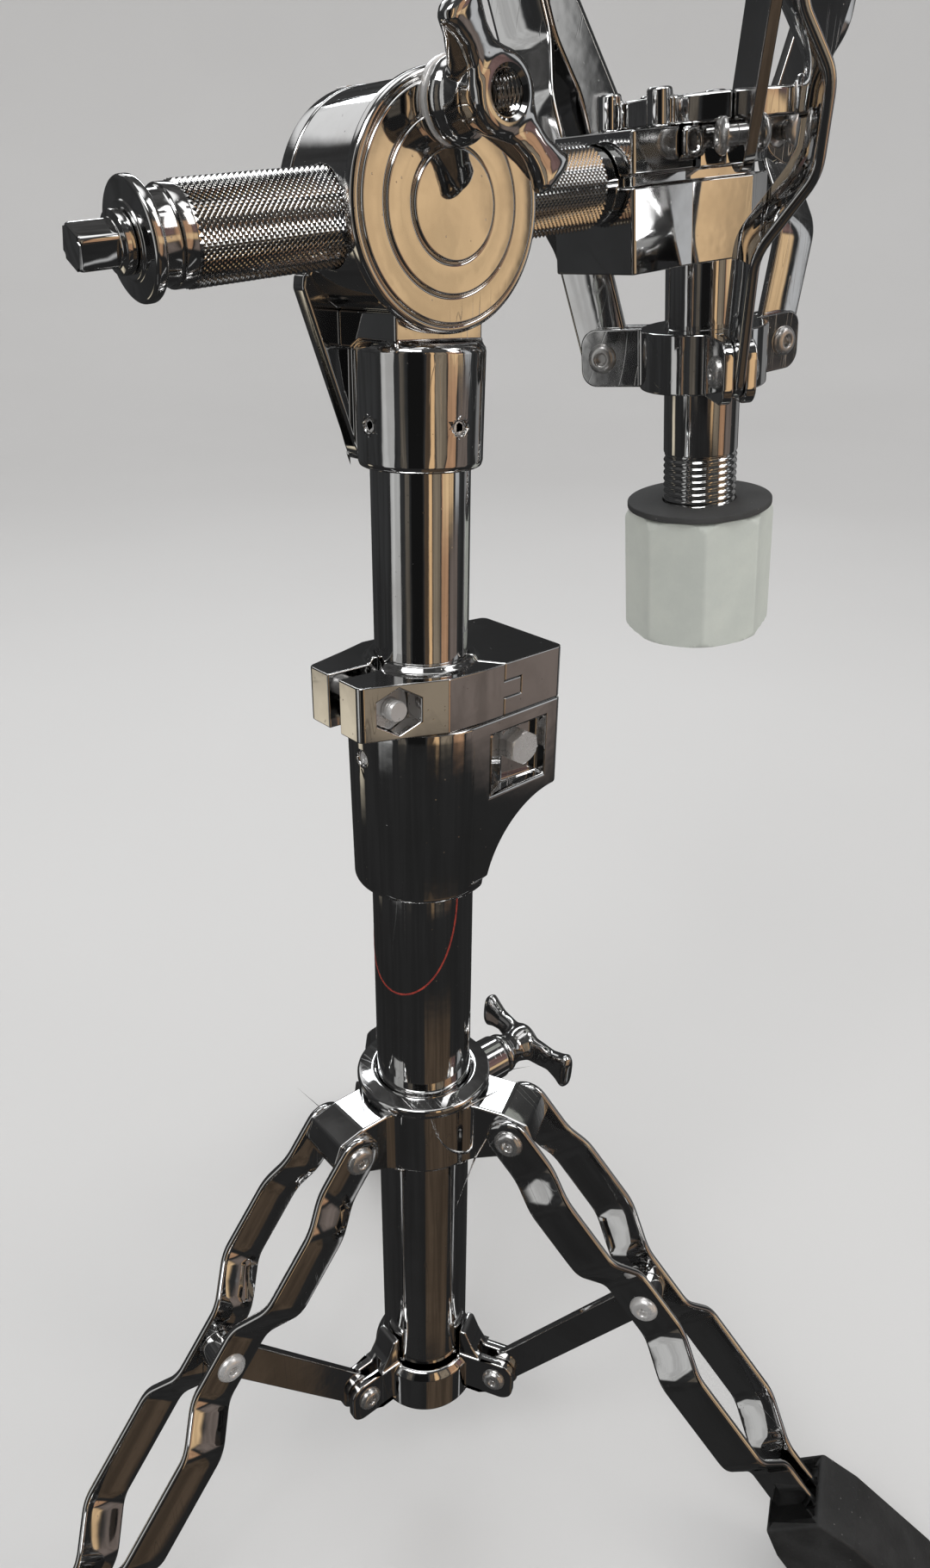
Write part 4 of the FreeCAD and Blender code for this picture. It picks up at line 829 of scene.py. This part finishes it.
# ---------------------------------------------------------------- tilter and offset arm
def add_front_disc():
    """Front disc whose terraces rise to a plain round boss, the nut's seat, and the tilt bolt."""
    r = DISC_RADIUS
    profile = [(0, 0), (r - 0.5, 0), (r, 0.6), (r, 2.7), (r - 0.7, 3.4)]
    for edge, low, high in ((0.920, 3.4, 4.1), (0.690, 4.1, 4.7), (0.430, 4.7, 5.4)):
        step = r * edge
        profile += [(step + 0.5, low), (step + 0.15, low - 0.45), (step - 0.2, high), (step - 1.0, high)]
    profile.append((0, 5.45))
    disc = lathe(rounded(profile, 0.4, 4), 160)
    add_piece("tilter_front_cap_skin", disc, shift(0, DISC_BACK, TILTER_HEIGHT) @ FACING["-Y"],
              "chrome", "column", ["tilter_front_cap"], sharp=60)
    bolt_place = shift(0, DISC_BACK, TILTER_HEIGHT + TILT_BOLT_HEIGHT) @ FACING["-Y"]
    washer = rounded([(3.7, 3.0), (8.8, 3.0), (8.8, 5.02), (3.7, 5.02)], 0.3, 3, closed=True)
    add_piece("tilter_bolt_washer", lathe(washer, 64, ring=True), bolt_place, "zinc", "column")
    back = DISC_BACK - 20.05
    half = 5.5
    square = [(-half, -half), (half, -half), (half, half), (-half, half)]
    head = prism(rounded(square, 0.8, 3, closed=True), back - 4.0, back)
    rod = thread(3.48, 0.4, 1.25, back - 0.2, 13.0, 48)
    add_piece("tilter_bolt_skin", joined(head, rod), bolt_place, "zinc", "column", ["tilter_bolt"], sharp=30)


def knurled_sleeve(radius, inner, length, pitch, depth):
    """A tube along +Z whose skin is a field of small four-sided pyramids."""
    count = 2 * int(2 * math.pi * radius / pitch)
    rows = 2 * int(length / pitch)
    shape = bmesh.new()
    rings = []
    for j in range(rows + 1):
        ring = []
        for i in range(count):
            high = (i + j) % 2 == 1 and 0 < j < rows
            r = radius if high else radius - depth
            ring.append(shape.verts.new(polar(r, i / count, length * j / rows)))
        rings.append(ring)
    for j in range(rows):
        for i in range(count):
            k = (i + 1) % count
            a, b, c, d = rings[j][i], rings[j][k], rings[j + 1][k], rings[j + 1][i]
            if (i + j) % 2 == 0:
                shape.faces.new((a, b, c))
                shape.faces.new((a, c, d))
            else:
                shape.faces.new((a, b, d))
                shape.faces.new((b, c, d))
    lips = [circle(shape, inner, height, count) for height in (0.0, length)]
    skin_rings(shape, [lips[0], rings[0]], cap_ends=False)
    skin_rings(shape, [rings[-1], lips[1]], cap_ends=False)
    return skin_rings(shape, lips, cap_ends=False)


def add_offset_arm():
    """Knurled arm, its end flange, and the draw bolt with the square key tip."""
    start = TILTED @ shift(ARM_LEFT, ARM_OFFSET, 0) @ FACING["+X"]
    length = ARM_RIGHT - ARM_LEFT
    plain = 3.0
    sleeve = knurled_sleeve(ARM_RADIUS, ARM_RADIUS - 2.2, length - plain, 1.3, 0.52)
    add_piece("knurled_arm_skin", sleeve, start @ shift(0, 0, plain), "chrome", "offset_arm",
              ["knurled_arm"], sharp=1.0)
    collar = rounded([(7.9, 0), (9.75, 0), (9.75, plain), (7.9, plain)], 0.3, 3, closed=True)
    add_piece("knurled_arm_collar", lathe(collar, 96, ring=True), start, "chrome", "offset_arm")
    flange = [(4.1, -8.1), (7.2, -8.1), (7.4, -7.6), (11.0, -7.4), (11.6, -6.9), (11.6, -5.2), (11.1, -4.6),
              (9.2, -4.4), (9.0, -0.4), (9.4, 0.0), (7.9, 0.1), (7.9, 5.5), (4.1, 5.5)]
    ring = lathe(rounded(flange, 0.35, 3, closed=True), 96, ring=True)
    add_piece("arm_end_flange_skin", ring, start, "chrome", "offset_arm", ["arm_end_flange"], sharp=40)

    bolt_end = 128.0
    shaft = rounded([(0, -11.2), (4.6, -11.2), (4.6, -10.9), (6.0, -10.5), (6.0, -8.5), (5.6, -8.2),
                     (4.0, -8.2), (4.0, bolt_end), (0, bolt_end)], 0.3, 3)
    half = 3.5
    square = rounded([(-half, -half), (half, -half), (half, half), (-half, half)], 1.1, 4, closed=True)
    tip_end = -19.2
    tip = prism(square, tip_end, -11.0)
    end_edges = [edge for edge in tip.edges if max(v.co.z for v in edge.verts) < tip_end + 0.2]
    bmesh.ops.bevel(tip, geom=end_edges, offset=0.9, segments=3, affect="EDGES", profile=0.5)
    tip.transform(turn("Z", 30))
    add_piece("arm_drawbolt_skin", joined(lathe(shaft, 64), tip), start, "chrome", "drawbolt",
              ["arm_drawbolt"], sharp=25)


# ---------------------------------------------------------------- basket
def add_basket_tube():
    """Basket tube with the long thread the hand nut runs on."""
    r = BASKET_TUBE_RADIUS
    top = UPPER_HUB + 8.0
    low = -120.0
    thread_top = -77.0
    inner = r - 1.8
    upper = rounded([(inner, thread_top), (r, thread_top), (r, top), (inner, top)], 0.6, 3, closed=True)
    add_piece("basket_tube_skin", lathe(upper, 96, ring=True), on_basket(0), "chrome", "basket",
              ["basket_tube"])
    ridge = thread(r, 0.75, 2.0, low, thread_top + 0.4, 96, core=inner)
    add_piece("basket_tube_thread", ridge, on_basket(0), "chrome", "basket", sharp=60)


def add_cover_bolt():
    """Rounded square head with a round dish, on the front of the cover casting."""
    steps = 48

    def ring(shape, half, height, squareness):
        corners = []
        for index in range(steps):
            angle = 2 * math.pi * index / steps
            c, s = math.cos(angle), math.sin(angle)
            reach = half / (abs(c) ** squareness + abs(s) ** squareness) ** (1.0 / squareness)
            corners.append(shape.verts.new((reach * c, reach * s, height)))
        return corners

    shape = bmesh.new()
    outline = [(2.5, -8.0, 2), (2.5, -0.6, 2), (3.5, -0.6, 5), (3.6, 0.9, 5), (3.45, 1.6, 5), (3.1, 1.95, 4),
               (2.7, 1.95, 2), (2.35, 1.6, 2), (2.1, 1.0, 2), (0.5, 0.75, 2)]
    skin_rings(shape, [ring(shape, half, height, squareness) for half, height, squareness in outline])
    place = TILTED @ shift(BASKET_OFFSET - 25.0, ARM_OFFSET - 14.1, 7.9) @ FACING["-Y"]
    add_piece("cover_bolt_skin", shape, place, "chrome", "basket", ["cover_bolt"], sharp=50)


def add_knob():
    """Hand nut: eight hollowed facets with scalloped ends, and its friction washer."""
    facet = math.pi / 8
    flat = KNOB_RADIUS * math.cos(facet)
    hollow = 0.9
    blunt = 0.2

    def outline(angle):
        from_middle = 1.0 - abs((angle + facet) % (2 * facet) - facet) / facet
        straight = flat / math.cos(facet * from_middle)
        dish = hollow * (1.0 - from_middle ** 2)
        return min(straight - dish, KNOB_RADIUS - blunt)

    rows = []
    for step in range(7):
        share = math.pi / 2 * step / 6
        drop = 4.2 * (1 - math.cos(share))
        rows.append((-drop, KNOB_RADIUS - 4.6 + 4.8 * math.sin(share)))
    lower = [(-KNOB_HEIGHT - z, limit) for z, limit in reversed(rows)]
    body = polar_solid(outline, rows + lower, 320)
    add_piece("basket_knob_skin", body, on_basket(KNOB_TOP), "knob_plastic", "knob", ["basket_knob"],
              sharp=40)
    inner = BASKET_TUBE_RADIUS + 0.1
    outer = 23.0
    thick = 2.0
    washer = rounded([(inner, 0), (outer, 0), (outer, thick), (inner, thick)], 0.5, 3, closed=True)
    add_piece("knob_washer_skin", lathe(washer, 128, ring=True), on_basket(WASHER_TOP - thick),
              "washer_fibre", "knob_ring", ["knob_washer"])


def add_links():
    """The three joggled links of the basket."""
    beside = ARM_STRAP_THICKNESS + 0.15
    joggle = 13.0
    path = [(0.0, -7.0), (0.0, 33.0), (joggle, 50.0), (joggle, 71.0), (beside, 86.0),
            (beside, LINK_LENGTH + 8.0)]
    for number, turns in enumerate(BASKET_TURNS, start=1):
        bar = strap(path, ARM_STRAP_WIDTH - 2.0, ARM_STRAP_THICKNESS, 7.2, 4.0)
        name = "basket_link_%d" % number
        add_piece(name + "_skin", bar, bar_place(turns, LOWER_HUB, LINK_LEAN), "chrome",
                  "link_%d" % number, [name], sharp=40)


# ---------------------------------------------------------------- tripod
def strap_path():
    """Half spacing of a leg strap and how far down the leg it lies."""
    return [(9.5, 7.5), (9.5, -14.0), (13.4, -24.0), (13.4, -50.0), (5.0, -63.0), (5.0, -LEG_MID - 12.0),
            (13.4, -LEG_MID - 24.0), (13.4, -138.0), (3.2, -151.0), (3.2, -STRAP_LENGTH)]


def add_legs():
    """Each leg's two bent straps and its middle rivet."""
    for number, turns in enumerate(LEG_TURNS, start=1):
        body = "leg_%d" % number
        place = leg_place(turns)
        for letter, side in (("a", 1), ("b", -1)):
            bar = strap([(x * side, z) for x, z in strap_path()], STRAP_WIDTH, STRAP_THICKNESS, 7.0, 3.4)
            name = "%s_strap_%s" % (body, letter)
            add_piece(name + "_skin", bar, place, "chrome", body, [name], sharp=40)
        heads = bmesh.new()
        outer = 5.0 + STRAP_THICKNESS / 2.0
        for side, way in ((1, "+Y"), (-1, "-Y")):
            place_head = shift(0, side * outer, -LEG_MID) @ FACING[way]
            heads = joined(heads, (rivet_head(4.6, 2.0, 1.5), place_head))
        add_piece(body + "_rivet_skin", heads, place, "zinc", body, [body + "_rivet"])


def add_castings():
    """Every other CAD node with its true edges rounded."""
    widths = {
        "tube_clamp": 0.8, "memory_lock_front": 0.4, "memory_lock_back": 0.4, "leg_collar": 0.8,
        "spider": 0.7, "tilter_bracket": 0.8, "tilter_drum": 0.5, "basket_block": 0.45,
        "basket_cover": 0.6, "upper_hub": 0.9, "lower_hub": 0.6,
    }
    slots = {"guide_bushing": "nylon", "tube_clamp_set_screw": "zinc", "bracket_set_screws": "zinc",
             "memory_lock_pin": "zinc"}
    for node in sorted(frame["nodes"]):
        if node in REPLACED:
            continue
        slot = slots.get(node, "chrome")
        width = widths.get(node, 0.35)
        if node.endswith("_foot") or node.startswith("arm_tip"):
            slot = "black_rubber"
            width = 1.0
        add_casting(node, width, slot)


# ---------------------------------------------------------------- studio
def band(nodes, value, low, high, soft):
    """1 between low and high, falling off over soft at each side."""
    rise = nodes.ramp(value, low - soft, low + soft)
    fall = nodes.ramp(value, high - soft, high + soft, 1.0, 0.0)
    return nodes.maths("MULTIPLY", rise, fall)


def make_world():
    """Pale surroundings for the eye; dark studio with soft panels and a tan wall for reflections."""
    world = bpy.data.worlds.new("studio")
    bpy.context.scene.world = world
    world.use_nodes = True
    nodes = Nodes(world.node_tree)
    direction = nodes.add("ShaderNodeTexCoord").outputs["Generated"]
    parts = nodes.add("ShaderNodeSeparateXYZ", Vector=direction)
    x, y, z = parts.outputs
    azimuth = nodes.maths("MULTIPLY", nodes.maths("ARCTAN2", y, x), 180 / math.pi)
    azimuth = nodes.maths("MODULO", nodes.maths("ADD", azimuth, 420.0), 360.0)
    azimuth = nodes.maths("SUBTRACT", azimuth, 60.0)
    height = nodes.maths("MULTIPLY", nodes.maths("ARCSINE", z), 180 / math.pi)
    cloth = nodes.noise(direction, 5.0, 4.0, 0.6)
    room = nodes.mix(nodes.ramp(height, -32.0, -4.0), grey(0.028), grey(0.048, -0.02))
    room = nodes.mix(nodes.ramp(height, 14.0, 50.0), room, grey(0.10, 0.01))
    room = nodes.mix(nodes.maths("MULTIPLY", nodes.ramp(cloth, 0.35, 0.65), 0.6), room, grey(0.018))

    def panel(colour, azimuths, heights, room):
        """The room with a soft-edged panel of a colour, its place given in degrees."""
        across = band(nodes, azimuth, *azimuths, 1.6)
        up = band(nodes, height, *heights, 2.5)
        return nodes.mix(nodes.maths("MULTIPLY", across, up), room, colour)

    def tint(red, green, blue, streak):
        """A colour with dark wavering streaks of a given strength."""
        grain = nodes.noise(direction, 7.0, 4.0, 0.75, (1.0, 1.0, 0.22))
        shade = nodes.ramp(grain, 0.36, 0.62, 1.0 - streak, 1.0)
        return nodes.mix(shade, (0.02, 0.016, 0.012, 1.0), (red, green, blue, 1.0))

    walls = [
        (tint(0.66, 0.66, 0.65, 0.25), (161, 185), (-24, 40)),
        (tint(0.90, 0.80, 0.62, 0.3), (116, 128), (-26, -18.5)),
        (tint(0.17, 0.15, 0.125, 0.5), (197, 207), (-24, 30)),
        (grey(0.010), (211, 238), (-24, 30)),
        (tint(0.13, 0.09, 0.06, 0.4), (241, 249), (-24, 30)),
        (tint(0.98, 0.64, 0.34, 0.2), (251, 258), (-24, 30)),
        (tint(0.33, 0.27, 0.20, 0.5), (261, 278), (-24, 30)),
        (tint(0.58, 0.34, 0.20, 0.3), (281, 299), (-24, 30)),
        (tint(0.22, 0.18, 0.16, 0.4), (-57, -34), (-24, -6)),
        (tint(0.92, 0.64, 0.36, 0.35), (284, 300), (-5, 6)),
        (tint(0.92, 0.64, 0.36, 0.35), (-60, -48), (-5, 6)),
        (tint(0.24, 0.15, 0.14, 0.4), (-60, -48), (8, 34)),
        (tint(0.60, 0.61, 0.62, 0.3), (-42, -30), (-5, 34)),
        (tint(0.26, 0.26, 0.26, 0.3), (-9, 18), (-24, 20)),
        (tint(0.10, 0.072, 0.05, 0.5), (235, 299), (-62, -34)),
        (grey(0.55), (167, 171), (-60, -40)),
        (grey(0.55), (-42, -39), (-60, -40)),
        (grey(3.0), (185, 235), (40, 60)),
        (grey(2.6), (-60, -30), (44, 64)),
        (grey(0.9), (75, 110), (30, 44)),
    ]
    for colour, azimuths, heights in walls:
        room = panel(colour, azimuths, heights, room)
    ceiling = nodes.ramp(height, 68.0, 76.0)
    room = nodes.mix(ceiling, room, grey(1.5))

    path = nodes.add("ShaderNodeLightPath")
    plain = nodes.add("ShaderNodeBackground", Color=grey(0.82, 0.004), Strength=1.0)
    mirror = nodes.add("ShaderNodeBackground", Color=room, Strength=1.0)
    choose = nodes.add("ShaderNodeMixShader")
    nodes.feed(choose.inputs[0], path.outputs["Is Glossy Ray"])
    nodes.feed(choose.inputs[1], plain.outputs[0])
    nodes.feed(choose.inputs[2], mirror.outputs[0])
    nodes.add("ShaderNodeOutputWorld", Surface=choose.outputs[0])


def make_floor():
    """Plain pale floor that curves up into a low wall all round; chrome does not mirror it."""
    profile = [(0, 0), (1.2, 0), (2.6, 0), (3.4, 0.08), (4.2, 0.4), (4.8, 1.0), (5.2, 2.2)]
    shape = lathe([(r * 1000, h * 1000 - 0.3) for r, h in rounded(profile, 0.4, 4)], 96)
    shape.transform(Matrix.Scale(MM, 4))
    bmesh.ops.recalc_face_normals(shape, faces=shape.faces)
    material, nodes, shader, where = new_material("pale_floor")
    cloud = nodes.noise(where, 1.5, 3.0, 0.5)
    nodes.feed(shader.inputs["Base Color"], nodes.mix(cloud, grey(0.66, 0.008), grey(0.71, 0.006)))
    nodes.feed(shader.inputs["Roughness"], nodes.maths("MULTIPLY_ADD", cloud, 0.1, 0.75))
    nodes.feed(shader.inputs["Normal"], nodes.bump(nodes.noise(where, 900.0, 2.0), 0.1, 0.0002))
    floor = new_object("floor", shape, material)
    floor.visible_glossy = False


def area_light(name, azimuth, height, distance, size, power, colour=(1, 1, 1)):
    """A soft panel aimed at the middle of the stand."""
    light = bpy.data.lights.new(name, "AREA")
    light.shape = "RECTANGLE"
    light.size, light.size_y = size
    light.energy = power
    light.color = colour
    lamp = bpy.data.objects.new(name, light)
    a, h = math.radians(azimuth), math.radians(height)
    aim = Vector((0.02, 0.0, 0.30))
    away = Vector((math.cos(a) * math.cos(h), math.sin(a) * math.cos(h), math.sin(h)))
    lamp.location = aim + away * distance
    lamp.rotation_euler = away.to_track_quat("Z", "Y").to_euler()
    bpy.context.scene.collection.objects.link(lamp)
    return lamp


def make_camera():
    """Camera close to the stand, looking down on it."""
    heading = math.radians(50.0)
    pitch = math.radians(-25.475)
    roll = math.radians(-0.771)
    focal_share = 1250.0 / 1821.0
    flat = math.cos(pitch)
    ahead = Vector((math.cos(heading) * flat, math.sin(heading) * flat, math.sin(pitch)))
    level = Vector((math.sin(heading), -math.cos(heading), 0.0))
    up = level.cross(ahead)
    right = level * math.cos(roll) - up * math.sin(roll)
    up = right.cross(ahead)
    camera = bpy.data.cameras.new("camera")
    camera.sensor_fit = "VERTICAL"
    camera.sensor_height = 36.0
    camera.lens = camera.sensor_height * focal_share
    camera.clip_start = 0.01
    eye = bpy.data.objects.new("camera", camera)
    place = Matrix((right, up, -ahead)).transposed().to_4x4()
    place.translation = Vector((-0.1692, -0.2207, 0.425))
    eye.matrix_world = place
    bpy.context.scene.collection.objects.link(eye)
    bpy.context.scene.camera = eye


def make_studio():
    """Surroundings, floor, lights and camera."""
    make_world()
    make_floor()
    area_light("key", 200, 52, 1.5, (0.6, 0.4), 5.0)
    area_light("fill", 300, 38, 1.8, (0.4, 0.7), 3.0, (1.0, 0.97, 0.93))
    area_light("rim", 60, 40, 1.6, (0.8, 0.2), 3.5, (0.95, 0.98, 1.0))
    make_camera()


# ---------------------------------------------------------------- build
def build():
    """Every visible piece of the stand."""
    add_tube("lower_tube", LOWER_TUBE, "base")
    add_tube("upper_tube", UPPER_TUBE, "column")
    add_oval_line()
    add_small_hardware()
    add_wing_nuts()
    add_front_disc()
    add_offset_arm()
    add_basket_tube()
    add_cover_bolt()
    add_knob()
    add_links()
    add_legs()
    add_castings()


build()
make_studio()
scene = bpy.context.scene
scene.view_settings.view_transform = "Standard"
scene.view_settings.look = "None"
